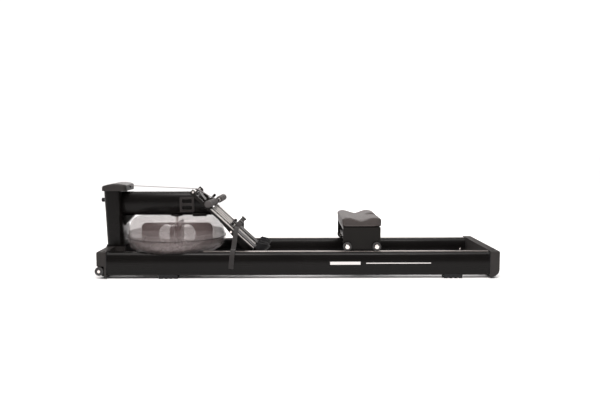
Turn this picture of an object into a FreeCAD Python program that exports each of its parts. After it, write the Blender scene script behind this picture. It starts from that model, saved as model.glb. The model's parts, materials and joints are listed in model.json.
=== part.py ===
import FreeCAD, Part
import math
import os

from FreeCAD import Vector

# Rowing machine with a round water tank. Millimetres, +Z up, floor at z = 0.
# The rower sits over the rails and faces -X, so left is -Y and right is +Y.

# ---- Driving dimensions: main frame ----
RAIL_SPREAD = 565.0  # outer face to outer face of the two rails
RAIL_WIDTH = 80.0
RAIL_HEIGHT = 124.5
RAIL_BOTTOM = 16.0
RAIL_CORNER = 20.0
RAIL_BULGE = 150.0  # radius of the rails' and the boom's convex sides
RAIL_WALL = 3.0
RAIL_FRONT = -984.5
RAIL_REAR = 1030.5
GASKET = 3.0  # between a rail's end and its casting
CASTING_DEPTH = 51.5
CASTING_DROP = 8.0  # how far the castings reach below the rails
CASTING_RISE = 6.5  # and above them
CASTING_WALL = 7.0
CASTING_TOP_ROUND = 10.0
CASTING_LOW_ROUND = 42.0
CASTING_RIM = 9.0
END_POCKET = 12.0  # wall left round the pockets in the castings' ends
SPIGOT_LENGTH = 38.0
SPIGOT_GAP = 0.15
TRACK_WIDTH = 24.0
TRACK_THICK = 2.5
TRACK_START = -480.0
FOOT_LENGTH = 98.0
FOOT_WIDTH = 56.0
FOOT_WRAP = 8.0  # how far a foot reaches up round the rail
FOOT_GROOVE = 7.0
FOOT_FRONT_X = -664.0
FOOT_REAR_X = 842.0
BOLT_HEAD = 6.0  # radius of the small bolt heads
BOLT_THICK = 4.0
BOLT_DROP = 62.0  # bolt centres below the rails' top
SEAT_STOP_X = 998.0

# ---- Transport wheels ----
TRANSPORT_RADIUS = 23.5
TRANSPORT_WIDTH = 22.0
TRANSPORT_X = -1026.0
TRANSPORT_Z = 42.0
TRANSPORT_AXLE = 4.0
TRANSPORT_NOTCH = 4.0  # room round the wheel in its casting

# ---- Water tank ----
TANK_X = -664.0
TANK_BOTTOM = 118.0
TANK_TOP = 307.0
TANK_RADIUS = 272.0
TANK_FLOOR_RADIUS = 230.0
TANK_WALL = 4.0
TANK_SEAM = 195.5
SEAM_BAND = 4.0  # how far the seam flanges stand out
SEAM_HEIGHT = 13.5  # each flange
SEAM_GASKET = 2.0
TANK_CLEARANCE = 1.0  # tank to its saddles
SADDLE_HALF = 165.0
SADDLE_BOWL = 13.0  # how far the saddles' tops dip at the middle
BEAM_WIDTH = 40.0
BEAM_HEIGHT = 28.0
BEAM_WALL = 3.0
BEAM_OFFSET = 120.0
PAD_HEIGHT = 10.0
CUP_RADIUS = 22.0  # moulded bearing cup on the tank's floor
CUP_HEIGHT = 13.0
WATER_LEVEL = 221.0
WATER_GAP = 0.5
PLUG_RADIUS = 16.0
PLUG_X = 150.0  # fill plug, from the tank's axis

# ---- Paddle, shaft and spool ----
SHAFT_RADIUS = 7.5
SHAFT_FOOT = 127.0
SHAFT_TOP = 398.0
BEARING_RADIUS = 16.0
BEARING_HEIGHT = 9.0
HOUSING_RADIUS = 26.0
HOUSING_TOP = 328.0
RUN_FIT = 0.05
BLADE_COUNT = 4
BLADE_INNER = 106.0
BLADE_OUTER = 201.0
BLADE_BOTTOM = 135.0
BLADE_TOP = 267.0
BLADE_THICK = 5.0
BLADE_ROUND = 28.0
BLADE_TURN = 0.0  # degrees from +X to the first blade
HUB_RADIUS = 28.0
HUB_WAIST = 11.5
OVAL_WIDTH = 90.0
OVAL_RIM = 2.0  # web left between the oval and the blade
OVAL_HEIGHT = 112.0
SPOOL_RADIUS = 24.0
SPOOL_FLANGE = 32.0
SPOOL_FLANGE_THICK = 3.0
SPOOL_BOTTOM = 341.0
SPRING_PITCH = 4.0
SPRING_THICK = 1.2
SPRING_INNER = 10.0
SPRING_HEIGHT = 14.0
SPRING_BOTTOM = 382.0
SPRING_TURNS = 4

# ---- Post, cap and boom ----
POST_DEPTH = 91.0
POST_WIDTH = 190.0
POST_CORNER = 30.0
POST_WALL = 4.0
POST_X = -993.5
POST_LEAN = 2.3
POST_TOP = 453.0
FLANGE_THICK = 8.0
FLANGE_BORDER = 14.0
GUSSET_LENGTH = 55.0  # web in the corner under the boom
GUSSET_HEIGHT = 62.0
GUSSET_WIDTH = 60.0
PEDESTAL_BOTTOM = 60.0
CAP_FRONT = -1061.0
CAP_REAR = -924.0
CAP_WIDTH = 202.0
CAP_HEIGHT = 40.0
CAP_ROUND = 14.0
CAP_SHOULDER = 17.0  # how far the cap's front edge lies below its crown
CAP_CROWN = -975.0
CAP_WALL = 4.0
BUMPER_RADIUS = 11.5
BUMPER_Z = 397.5
BUMPER_FRONT = -1085.0
BOOM_BOTTOM = 312.0
BOOM_HEIGHT = 132.0
BOOM_WIDTH = 80.0
BOOM_END_TOP = -533.5
BOOM_END_BOTTOM = -431.0
END_PLATE = 3.0
COVER_X0 = -639.5
COVER_X1 = -559.0
COVER_Z0 = 331.5
COVER_Z1 = 416.0
COVER_THICK = 3.0
SLOT_LENGTH = 55.0
SLOT_HEIGHT = 22.5

# ---- Drive strap ----
STRAP_WIDTH = 20.0
STRAP_THICK = 2.0
STRAP_GAP = 0.3
PULLEY_RADIUS = 16.0
PULLEY_FLANGE = 20.0
PULLEY_AXLE = 4.0
STRAP_EXIT = 3.0  # from the upper pulley's axis up to the slot in the cap
PULLEY_X = -985.0
TOP_PULLEY_Z = 463.0
TWIST_START = -850.0
TWIST_END = -950.0
ROLLER_RADIUS = 9.0
ROLLER_LENGTH = 64.0
ROLLER_AXLE = 5.0
ROLLER_ROOM = 3.0  # between the roller and the recess in the boom's top

# ---- Footboard: u runs down the slope from the strap roller, n is square to it ----
ROLLER_X = -548.5
ROLLER_Z = 449.0
SLOPE = 42.9
DECK_START = 133.0
DECK_END = 448.0
DECK_HALF = 150.0
DECK_THICK = 10.0
PLATE_Y = 130.0
PLATE_THICK = 8.0
BAR_DEPTH = 18.0
PLATE_DEPTH = 46.0
STRIP_WIDTH = 26.0
STRIP_THICK = 3.0
STRIP_RIDGES = 5
SLOT_PITCH = 26.0
DECK_SLOTS = 10
FOOT_TUBE_U = 459.0
FOOT_TUBE_N = -55.0
FOOT_TUBE_RADIUS = 12.0
TIE_RADIUS = 6.0
TIE_UPPER_U = 30.0
TIE_UPPER_N = -9.0
TIE_LOWER_U = 298.0
TIE_LOWER_N = -21.0
REST_START = 78.0
REST_END = 134.0
REST_PEG = 14.0
REST_PEG_HEIGHT = 36.0
REST_HEIGHT = 7.0

# ---- Heel plates, cups and foot straps ----
HEEL_Y = 84.0
HEEL_WIDTH = 86.0
HEEL_PLATE_START = 262.0
HEEL_PLATE_END = 503.0
HEEL_PLATE_THICK = 4.0
HEEL_GAP = 0.4
HEEL_CUP_U = 470.0
HEEL_CUP_HEIGHT = 54.0
HEEL_CUP_WALL = 5.0
KNOB_U = 275.0
KNOB_RADIUS = 8.0
KNOB_STEM = 4.0
WEB_WIDTH = 25.0
WEB_THICK = 2.0
LOOP_U = 303.0
LOOP_HEIGHT = 48.0
LOOP_FOOT = 1.3
BUCKLE_MARGIN = 3.0  # the buckle's overhang on each side of its strap
LOOP_INNER_Y = 34.0
LOOP_OUTER_Y = 140.0
TAIL_BOTTOM = 56.0
TAIL_CLEAR = 4.0  # tail to the rail's outer face
TAIL_LEAN = 6.0
BUCKLE_LENGTH = 34.0
BUCKLE_THICK = 6.0

# ---- Handle ----
HANDLE_X = -436.5
HANDLE_Z = 391.6
HANDLE_LENGTH = 480.0
HANDLE_BAR = 11.0
GRIP_RADIUS = 19.0
GRIP_START = 62.0
GRIP_BEND = -1.5
GRIP_ROUND = 8.0
HANDLE_YAW = 3.3  # the handle rests askew, its left end forward
GRIP_OFFSET = 1.5  # from the bend to the grip
CLIP_LENGTH = 34.0
CLIP_WIDTH = 30.0
CLIP_THICK = 8.0
CLIP_WALL = 4.0  # round the handle's bar

# ---- Seat and carriage ----
SEAT_FRONT = 251.0
SEAT_LENGTH = 224.0
SEAT_WIDTH = 440.0
SEAT_BOTTOM = 266.0
SEAT_TOP = 315.0
SEAT_DIP = 15.0
SEAT_CORNER = 24.0
SEAT_CHAMFER = 30.0  # at the rear corners, in plan
SEAT_SLANT = 9.0  # how far the front face leans in at its foot
VALLEY_RADIUS = 95.0  # hollow for the tailbone, open to the rear
VALLEY_DEPTH = 15.0
VALLEY_LENGTH = 110.0
BASE_THICK = 12.0
CARRIAGE_FRONT = 261.5
CARRIAGE_REAR = 461.5
CARRIAGE_BOTTOM = 148.0
CARRIAGE_PLATE = 4.0
CARRIAGE_CUT = 32.0
WHEEL_RADIUS = 22.7
WHEEL_WIDTH = 20.0
WHEEL_GAP = 0.3  # between a wheel and its track
WHEEL_INSET = 22.0
AXLE_RADIUS = 4.0
AXLE_HEAD = 12.0
WASHER = 4.0
CARRIAGE_TUBE = 10.0

# ---- Values worked out from the driving dimensions ----
RAIL_Y = (RAIL_SPREAD - RAIL_WIDTH) / 2
RAIL_INNER_Y = RAIL_Y - RAIL_WIDTH / 2
RAIL_OUTER_Y = RAIL_Y + RAIL_WIDTH / 2
RAIL_TOP = RAIL_BOTTOM + RAIL_HEIGHT
TRACK_TOP = RAIL_TOP + TRACK_THICK
CASTING_BOTTOM = RAIL_BOTTOM - CASTING_DROP
CASTING_TOP = RAIL_TOP + CASTING_RISE
FRONT_FACE = RAIL_FRONT - GASKET
REAR_FACE = RAIL_REAR + GASKET
BOOM_TOP = BOOM_BOTTOM + BOOM_HEIGHT
POST_BOTTOM = CASTING_TOP + FLANGE_THICK
SADDLE_FLOOR = TANK_BOTTOM - 8.0
WHEEL_Z = TRACK_TOP + WHEEL_GAP + WHEEL_RADIUS
PLATE_OUTER = RAIL_Y - WHEEL_WIDTH / 2 - WASHER
STRAP_LOW = SPOOL_BOTTOM + SPOOL_FLANGE_THICK + 1.0
STRAP_MID = STRAP_LOW + STRAP_WIDTH / 2
LOW_PULLEY_Z = STRAP_MID + STRAP_THICK / 2 + STRAP_GAP + PULLEY_RADIUS
SPOOL_TOP = STRAP_LOW + STRAP_WIDTH + 1.0 + SPOOL_FLANGE_THICK
SIDES = (("left", -1), ("right", 1))
X_AXIS = Vector(1, 0, 0)
Y_AXIS = Vector(0, 1, 0)
Z_AXIS = Vector(0, 0, 1)


# ---- Helpers ----
def box(x0, x1, y0, y1, z0, z1):
    return Part.makeBox(x1 - x0, y1 - y0, z1 - z0, Vector(x0, y0, z0))


def rod(radius, start, axis, length):
    return Part.makeCylinder(radius, length, start, axis)


def ring(outer, inner, start, axis, length):
    return rod(outer, start, axis, length).cut(rod(inner, start, axis, length))


def polygon(points, axis_vector):
    wire = Part.makePolygon(points + [points[0]])
    return Part.Face(wire).extrude(axis_vector)


def mirrored(shape, side):
    """The shape as made for the right side, or its mirror image for the left."""
    return shape if side > 0 else shape.mirror(Vector(0, 0, 0), Y_AXIS)


def both_sides(shape):
    return [mirrored(shape, side) for _, side in SIDES]


def oblong(width, height, corner, thickness, z_bottom, x_start, y_centre=0.0):
    """A rounded bar along X: width on Y, height on Z."""
    bar = box(x_start, x_start + thickness, y_centre - width / 2, y_centre + width / 2,
              z_bottom, z_bottom + height)
    if corner <= 0:
        return bar
    edges = [e for e in bar.Edges if abs(e.BoundBox.XLength - thickness) < 1e-6]
    return bar.makeFillet(corner, edges)


def barrel(width, height, inset, length, start, y_centre, z_centre):
    """A bar along X with a flat top and bottom, round corners and convex sides, drawn in by an inset."""
    side = RAIL_BULGE - inset
    corner = RAIL_CORNER - inset
    hub = width / 2 - RAIL_BULGE
    rise = height / 2 - RAIL_CORNER
    reach = math.sqrt((RAIL_BULGE - RAIL_CORNER) ** 2 - rise ** 2) + hub
    lean = math.atan2(rise, reach - hub)

    def at(y, z):
        return Vector(start, y_centre + y, z_centre + z)

    def side_point(sign, angle):
        return at(sign * (hub + side * math.cos(angle)), side * math.sin(angle))

    def corner_point(sign, lift, angle):
        return at(sign * (reach + corner * math.cos(angle)), lift * (rise + corner * math.sin(angle)))

    quarter = (lean + math.pi / 2) / 2
    edges = []
    for sign in (1, -1):
        edges.append(Part.Arc(side_point(sign, -lean), side_point(sign, 0), side_point(sign, lean)).toShape())
        for lift in (1, -1):
            edges.append(Part.Arc(corner_point(sign, lift, lean), corner_point(sign, lift, quarter),
                                  corner_point(sign, lift, math.pi / 2)).toShape())
    for lift in (1, -1):
        edges.append(Part.LineSegment(corner_point(1, lift, math.pi / 2),
                                      corner_point(-1, lift, math.pi / 2)).toShape())
    wire = Part.Wire(Part.__sortEdges__(edges))
    return Part.Face(wire).extrude(Vector(length, 0, 0))


def rounded_post(x0, x1, width, z0, z1, corner):
    """An upright bar with rounded vertical edges."""
    bar = box(x0, x1, -width / 2, width / 2, z0, z1)
    edges = [e for e in bar.Edges if abs(e.BoundBox.ZLength - (z1 - z0)) < 1e-6]
    return bar.makeFillet(corner, edges)


def revolved(points, x_centre):
    """A solid of revolution about the vertical axis; a point of three is an arc."""
    edges = []
    last = Vector(*points[0])
    for point in points[1:]:
        if isinstance(point[0], tuple):
            middle, end = Vector(*point[0]), Vector(*point[1])
            edges.append(Part.Arc(last, middle, end).toShape())
        else:
            end = Vector(*point)
            edges.append(Part.LineSegment(last, end).toShape())
        last = end
    edges.append(Part.LineSegment(last, Vector(*points[0])).toShape())
    solid = Part.Face(Part.Wire(edges)).revolve(Vector(0, 0, 0), Z_AXIS, 360)
    solid.translate(Vector(x_centre, 0, 0))
    return solid


def on_slope(shape):
    """Moves a shape from footboard coordinates (u, y, n) to its place."""
    placed = shape.copy()
    placed.rotate(Vector(0, 0, 0), Y_AXIS, SLOPE)
    placed.translate(Vector(ROLLER_X, 0, ROLLER_Z))
    return placed


def slope_point(u, y, n):
    angle = math.radians(SLOPE)
    x = ROLLER_X + u * math.cos(angle) + n * math.sin(angle)
    z = ROLLER_Z - u * math.sin(angle) + n * math.cos(angle)
    return Vector(x, y, z)


def save(name, *solids):
    shape = solids[0] if len(solids) == 1 else Part.makeCompound(list(solids))
    assert shape.isValid(), name
    shape.exportStep("parts/" + name + ".step")


# ---- Main frame ----
def rail_outline(start, end, inset=0.0, side=1):
    return barrel(RAIL_WIDTH, RAIL_HEIGHT, inset, end - start, start, side * RAIL_Y,
                  RAIL_BOTTOM + RAIL_HEIGHT / 2)


def tank_profile(grow=0.0):
    """The tank's outline from its axis out and up to the seam, and from the seam up."""
    radius = TANK_RADIUS + grow
    floor = TANK_BOTTOM - grow
    lid = TANK_TOP + grow
    lower_arc = ((radius - 9.0, 0, TANK_BOTTOM + 29.0), (radius, 0, TANK_SEAM - 12.0))
    upper_arc = ((radius - 9.0, 0, TANK_TOP - 53.0), (radius - 36.0, 0, lid))
    lower = [(0, 0, floor), (TANK_FLOOR_RADIUS + grow, 0, floor), lower_arc, (radius, 0, TANK_SEAM)]
    upper = [(0, 0, TANK_SEAM), (radius, 0, TANK_SEAM), (radius, 0, TANK_SEAM + 12.0), upper_arc,
             (0, 0, lid)]
    return lower + [(0, 0, TANK_SEAM)], upper


def tank_solid(grow=0.0):
    lower, upper = tank_profile(grow)
    return revolved(lower, TANK_X).fuse(revolved(upper, TANK_X))


def make_rails():
    saddle_zone = box(TANK_X - SADDLE_HALF, TANK_X + SADDLE_HALF, RAIL_INNER_Y - 1, RAIL_OUTER_Y + 1,
                      SADDLE_FLOOR, RAIL_TOP + 1)
    outer = rail_outline(RAIL_FRONT, RAIL_REAR)
    rail = outer.cut(rail_outline(RAIL_FRONT, RAIL_REAR, RAIL_WALL)).cut(saddle_zone)
    saddle = outer.common(saddle_zone).cut(tank_solid(TANK_CLEARANCE))
    bowl = (SADDLE_HALF ** 2 + SADDLE_BOWL ** 2) / (2 * SADDLE_BOWL)
    saddle = saddle.cut(rod(bowl, Vector(TANK_X, -RAIL_SPREAD, RAIL_TOP - SADDLE_BOWL + bowl), Y_AXIS,
                            2 * RAIL_SPREAD))
    track = oblong(TRACK_WIDTH, TRACK_THICK, 0, RAIL_REAR - TRACK_START, RAIL_TOP, TRACK_START, RAIL_Y)
    for name, side in SIDES:
        save("rail_" + name, mirrored(rail, side))
    save("tank_saddles", *both_sides(saddle))
    save("track_strips", *both_sides(track))
    rings = []
    for start in (FRONT_FACE, RAIL_REAR):
        gasket = rail_outline(start, start + GASKET).cut(rail_outline(start, start + GASKET, RAIL_WALL))
        rings += both_sides(gasket)
    save("rail_end_gaskets", *rings)


def casting_block(x_outer, x_inner):
    """A crossbar over the full width: a small round above, a large one below, and rounded ends."""
    x0, x1 = min(x_outer, x_inner), max(x_outer, x_inner)
    block = box(x0, x1, -RAIL_OUTER_Y, RAIL_OUTER_Y, CASTING_BOTTOM, CASTING_TOP)
    for height, radius in ((CASTING_TOP, CASTING_TOP_ROUND), (CASTING_BOTTOM, CASTING_LOW_ROUND)):
        picked = [e for e in block.Edges if e.BoundBox.YLength > RAIL_SPREAD - 1
                  and abs(e.BoundBox.XMin - x_outer) < 1e-3 and abs(e.BoundBox.ZMin - height) < 1e-3]
        block = block.makeFillet(radius, picked)
    rim = [e for e in block.Edges if e.BoundBox.YLength < 1e-3
           and not (abs(e.BoundBox.XMin - x_inner) < 1e-3 and abs(e.BoundBox.XMax - x_inner) < 1e-3)]
    return block.makeFillet(CASTING_RIM, rim)


def casting_pockets(x0, x1):
    """Pockets open at the underside, with ribs left between them."""
    pockets = []
    pitch = 2 * RAIL_INNER_Y / 3
    for index in range(3):
        y0 = -RAIL_INNER_Y + index * pitch + CASTING_WALL / 2
        y1 = y0 + pitch - CASTING_WALL
        pockets.append(box(x0 + CASTING_WALL, x1 - CASTING_WALL, y0, y1,
                           CASTING_BOTTOM - 1, CASTING_TOP - CASTING_WALL))
    return pockets


def end_pockets(x0, x1, bottom):
    """Hollows in the castings' ends, open toward the rails through the spigots."""
    half = RAIL_WIDTH / 2 - END_POCKET
    pocket = box(x0, x1, RAIL_Y - half, RAIL_Y + half, bottom, RAIL_TOP - END_POCKET)
    return both_sides(pocket)


def spigots(start):
    """Tenons that fit inside the rail ends."""
    inset = RAIL_WALL + SPIGOT_GAP
    tenon = rail_outline(start, start + SPIGOT_LENGTH + GASKET, inset)
    core = rail_outline(start, start + SPIGOT_LENGTH + GASKET, inset + CASTING_WALL)
    return both_sides(tenon.cut(core))


def make_castings():
    rear = casting_block(REAR_FACE + CASTING_DEPTH, REAR_FACE)
    rear = rear.cut(casting_pockets(REAR_FACE, REAR_FACE + CASTING_DEPTH))
    rear = rear.cut(end_pockets(REAR_FACE, REAR_FACE + CASTING_DEPTH - END_POCKET,
                                CASTING_BOTTOM + CASTING_LOW_ROUND))
    rear = rear.fuse(spigots(RAIL_REAR - SPIGOT_LENGTH)).removeSplitter()
    save("rear_crossmember", rear)

    front_edge = FRONT_FACE - CASTING_DEPTH
    front = casting_block(front_edge, FRONT_FACE)
    pedestal_rear = POST_X + POST_DEPTH / 2 + FLANGE_BORDER
    half = (POST_WIDTH + FLANGE_BORDER) / 2
    pedestal = box(front_edge, pedestal_rear, -half, half, PEDESTAL_BOTTOM, CASTING_TOP)
    web = CASTING_WALL / 2
    for y0, y1 in ((-half + CASTING_WALL, -web), (web, half - CASTING_WALL)):
        pedestal = pedestal.cut(box(FRONT_FACE + web, pedestal_rear - CASTING_WALL, y0, y1,
                                    PEDESTAL_BOTTOM - 1, CASTING_TOP - CASTING_WALL))
    front = front.fuse(pedestal).cut(casting_pockets(front_edge, FRONT_FACE))
    front = front.cut(end_pockets(front_edge + END_POCKET, FRONT_FACE,
                                  TRANSPORT_Z + TRANSPORT_RADIUS + END_POCKET))
    front = front.fuse(spigots(FRONT_FACE))
    reach = TRANSPORT_RADIUS + TRANSPORT_NOTCH
    wheel_inner = RAIL_OUTER_Y - TRANSPORT_WIDTH - 2 * TRANSPORT_NOTCH
    for _, side in SIDES:
        notch = box(front_edge - 1, TRANSPORT_X + reach, wheel_inner, RAIL_OUTER_Y + 1,
                    CASTING_BOTTOM - 1, TRANSPORT_Z + reach)
        hole = rod(TRANSPORT_AXLE, Vector(TRANSPORT_X, wheel_inner - 20, TRANSPORT_Z), Y_AXIS, 22)
        front = front.cut(mirrored(notch, side)).cut(mirrored(hole, side))
    save("front_crossmember", front)


def make_transport_wheels():
    """Wheels in the notches at the front corners, each on a shoulder bolt."""
    x = TRANSPORT_X
    inner = RAIL_OUTER_Y - TRANSPORT_WIDTH - 2 * TRANSPORT_NOTCH
    start = inner + TRANSPORT_NOTCH
    wheel = ring(TRANSPORT_RADIUS, TRANSPORT_AXLE + RUN_FIT, Vector(x, start, TRANSPORT_Z), Y_AXIS,
                 TRANSPORT_WIDTH)
    rim = [e for e in wheel.Edges if abs(e.BoundBox.XLength - 2 * TRANSPORT_RADIUS) < 1e-3]
    shank = rod(TRANSPORT_AXLE, Vector(x, inner - 20, TRANSPORT_Z), Y_AXIS,
                20 + TRANSPORT_NOTCH + TRANSPORT_WIDTH + 0.5)
    head = rod(BOLT_HEAD + 2, Vector(x, start + TRANSPORT_WIDTH + 0.5, TRANSPORT_Z), Y_AXIS, 3.0)
    save("transport_wheels", *both_sides(wheel.makeFillet(3.0, rim)))
    return both_sides(shank.fuse(head))


def make_feet():
    """Rubber feet that wrap the underside of the rails, with rounded lobes below."""
    feet = []
    for x in (FOOT_FRONT_X, FOOT_REAR_X):
        foot = box(x - FOOT_LENGTH / 2, x + FOOT_LENGTH / 2, RAIL_Y - FOOT_WIDTH / 2,
                   RAIL_Y + FOOT_WIDTH / 2, 0, RAIL_BOTTOM + FOOT_WRAP)
        foot = foot.cut(rail_outline(x - FOOT_LENGTH, x + FOOT_LENGTH))
        pitch = FOOT_LENGTH / 4
        for index in range(3):
            groove_x = x - FOOT_LENGTH / 2 + (index + 1) * pitch
            groove = rod(FOOT_GROOVE, Vector(groove_x, RAIL_Y - FOOT_WIDTH, -1.5), Y_AXIS, 2 * FOOT_WIDTH)
            foot = foot.cut(groove)
        feet += both_sides(foot)
    save("rubber_feet", *feet)


def make_rail_bolts():
    """Dome bolts on the inner faces of the rails, through the casting's spigots."""
    bolts = []
    for x in (SEAT_STOP_X, RAIL_FRONT + SPIGOT_LENGTH / 2):
        head = rod(BOLT_HEAD, Vector(x, RAIL_INNER_Y - BOLT_THICK, RAIL_TOP - BOLT_DROP), Y_AXIS,
                   BOLT_THICK)
        rim = [e for e in head.Edges if abs(e.BoundBox.YMin - (RAIL_INNER_Y - BOLT_THICK)) < 1e-3
               and e.BoundBox.YLength < 1e-3]
        bolts += both_sides(head.makeFillet(1.5, rim))
    return bolts


# ---- Tank ----
def make_tank_supports():
    beams, pads = [], []
    for offset in (-BEAM_OFFSET, BEAM_OFFSET):
        x = TANK_X + offset
        top = TANK_BOTTOM - PAD_HEIGHT
        beam = box(x - BEAM_WIDTH / 2, x + BEAM_WIDTH / 2, -RAIL_Y, RAIL_Y, top - BEAM_HEIGHT, top)
        hollow = box(x - BEAM_WIDTH / 2 + BEAM_WALL, x + BEAM_WIDTH / 2 - BEAM_WALL, -RAIL_Y, RAIL_Y,
                     top - BEAM_HEIGHT + BEAM_WALL, top - BEAM_WALL)
        beams.append(beam.cut(hollow).cut([rail_outline(RAIL_FRONT, RAIL_REAR, 0.0, end) for end in (-1, 1)]))
        for side in (-1, 1):
            y = side * BEAM_OFFSET
            pads.append(rod(BEAM_WIDTH / 2, Vector(x, y, top), Z_AXIS, PAD_HEIGHT))
    save("tank_support_beams", *beams)
    save("tank_pads", *pads)


def make_tank():
    band = TANK_RADIUS + SEAM_BAND
    low = TANK_SEAM - SEAM_GASKET / 2
    high = TANK_SEAM + SEAM_GASKET / 2
    axis_low = Vector(TANK_X, 0, low - SEAM_HEIGHT)
    shell = tank_solid().fuse(rod(band, axis_low, Z_AXIS, 2 * SEAM_HEIGHT + SEAM_GASKET))
    shell = shell.cut(tank_solid(-TANK_WALL))
    whole = 2 * band
    below = box(TANK_X - whole, TANK_X + whole, -whole, whole, 0, low)
    above = box(TANK_X - whole, TANK_X + whole, -whole, whole, high, TANK_TOP + 10)
    between = box(TANK_X - whole, TANK_X + whole, -whole, whole, low, high)
    centre = Vector(TANK_X, 0, TANK_TOP - 2 * TANK_WALL)
    plug_at = Vector(TANK_X + PLUG_X * 0.5, PLUG_X * 0.75, TANK_TOP - 2 * TANK_WALL)
    upper = shell.common(above).cut(rod(HOUSING_RADIUS - 4, centre, Z_AXIS, 40))
    upper = upper.cut(rod(PLUG_RADIUS - 4, plug_at, Z_AXIS, 40))
    cup = rod(CUP_RADIUS, Vector(TANK_X, 0, TANK_BOTTOM + TANK_WALL / 2), Z_AXIS, CUP_HEIGHT)
    bore = rod(SHAFT_RADIUS + RUN_FIT, Vector(TANK_X, 0, SHAFT_FOOT - 0.5), Z_AXIS, 20)
    save("tank_lower_shell", shell.common(below).fuse(cup).cut(bore))
    save("tank_upper_shell", upper)
    save("tank_gasket", shell.common(between))
    plug_head = rod(PLUG_RADIUS, plug_at + Vector(0, 0, 2 * TANK_WALL), Z_AXIS, 5)
    plug_stem = rod(PLUG_RADIUS - 4.1, plug_at + Vector(0, 0, 2), Z_AXIS, 2 * TANK_WALL)
    save("tank_fill_plug", plug_head.fuse(plug_stem))


def make_bearings():
    centre = Vector(TANK_X, 0, 0)
    neck = rod(HOUSING_RADIUS - 4.1, centre + Vector(0, 0, TANK_TOP - TANK_WALL), Z_AXIS, 10)
    housing = neck.fuse(rod(HOUSING_RADIUS + 8, centre + Vector(0, 0, TANK_TOP), Z_AXIS,
                            BOOM_BOTTOM - TANK_TOP))
    housing = housing.fuse(rod(HOUSING_RADIUS, centre + Vector(0, 0, TANK_TOP), Z_AXIS,
                               HOUSING_TOP - TANK_TOP))
    housing = housing.cut(rod(SHAFT_RADIUS + 2, centre, Z_AXIS, HOUSING_TOP + 10))
    seat = HOUSING_TOP - BEARING_HEIGHT
    housing = housing.cut(rod(BEARING_RADIUS, centre + Vector(0, 0, seat), Z_AXIS, 20))
    save("bearing_housing", housing)
    save("shaft_bearing", ring(BEARING_RADIUS, SHAFT_RADIUS + RUN_FIT, centre + Vector(0, 0, seat),
                               Z_AXIS, BEARING_HEIGHT))


def blade(index):
    height = BLADE_TOP - BLADE_BOTTOM
    plate = box(BLADE_INNER, BLADE_OUTER, -BLADE_THICK / 2, BLADE_THICK / 2, BLADE_BOTTOM, BLADE_TOP)
    corners = [e for e in plate.Edges if e.BoundBox.YLength > BLADE_THICK / 2
               and e.BoundBox.XMin > BLADE_OUTER - 1]
    plate = plate.makeFillet(min(BLADE_ROUND, height / 3), corners)
    turn = BLADE_TURN + 360.0 / BLADE_COUNT * index
    plate.rotate(Vector(0, 0, 0), Z_AXIS, turn)
    plate.translate(Vector(TANK_X, 0, 0))
    return plate


def web(index):
    """The plate between hub and blade, with an oval opening."""
    plate = box(SHAFT_RADIUS, BLADE_INNER, -BLADE_THICK / 2, BLADE_THICK / 2, BLADE_BOTTOM, BLADE_TOP)
    oval = Part.Face(Part.Wire(Part.Ellipse(Vector(0, 0, 0), OVAL_HEIGHT / 2, OVAL_WIDTH / 2).toShape()))
    oval = oval.extrude(Vector(0, 0, 4 * BLADE_THICK))
    oval.rotate(Vector(0, 0, 0), Z_AXIS, 90)
    oval.rotate(Vector(0, 0, 0), X_AXIS, 90)
    oval.translate(Vector(BLADE_INNER - OVAL_RIM - OVAL_WIDTH / 2, 2 * BLADE_THICK, (BLADE_BOTTOM + BLADE_TOP) / 2))
    plate = plate.cut(oval)
    plate.rotate(Vector(0, 0, 0), Z_AXIS, BLADE_TURN + 360.0 / BLADE_COUNT * index)
    plate.translate(Vector(TANK_X, 0, 0))
    return plate


def make_paddle():
    middle = (BLADE_BOTTOM + BLADE_TOP) / 2
    outline = [(SHAFT_RADIUS, 0, BLADE_BOTTOM), (HUB_RADIUS, 0, BLADE_BOTTOM),
               ((HUB_WAIST, 0, middle), (HUB_RADIUS, 0, BLADE_TOP)), (SHAFT_RADIUS, 0, BLADE_TOP)]
    hub = revolved(outline, TANK_X)
    for index in range(BLADE_COUNT):
        hub = hub.fuse(web(index))
    hub = hub.cut(rod(SHAFT_RADIUS, Vector(TANK_X, 0, BLADE_BOTTOM - 5), Z_AXIS, 200))
    shaft = rod(SHAFT_RADIUS, Vector(TANK_X, 0, SHAFT_FOOT), Z_AXIS, SHAFT_TOP - SHAFT_FOOT)
    blades = [blade(index) for index in range(BLADE_COUNT)]
    save("paddle_hub", hub)
    save("paddle_shaft", shaft)
    save("paddle_blades", *blades)
    surface = box(TANK_X - 400, TANK_X + 400, -400, 400, 0, WATER_LEVEL)
    water = tank_solid(-TANK_WALL - WATER_GAP).common(surface)
    cup_top = TANK_BOTTOM + TANK_WALL / 2 + CUP_HEIGHT
    water = water.cut(rod(CUP_RADIUS + WATER_GAP, Vector(TANK_X, 0, 0), Z_AXIS, cup_top + WATER_GAP))
    water = water.cut([hub, shaft] + blades)
    save("water", water)


def make_spool():
    start = Vector(TANK_X, 0, SPOOL_BOTTOM)
    spool = rod(SPOOL_RADIUS, start, Z_AXIS, SPOOL_TOP - SPOOL_BOTTOM)
    for z in (SPOOL_BOTTOM, SPOOL_TOP - SPOOL_FLANGE_THICK):
        spool = spool.fuse(rod(SPOOL_FLANGE, Vector(TANK_X, 0, z), Z_AXIS, SPOOL_FLANGE_THICK))
    spool = spool.cut(rod(SHAFT_RADIUS + RUN_FIT, start, Z_AXIS, 100))
    save("drive_spool", spool)


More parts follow.
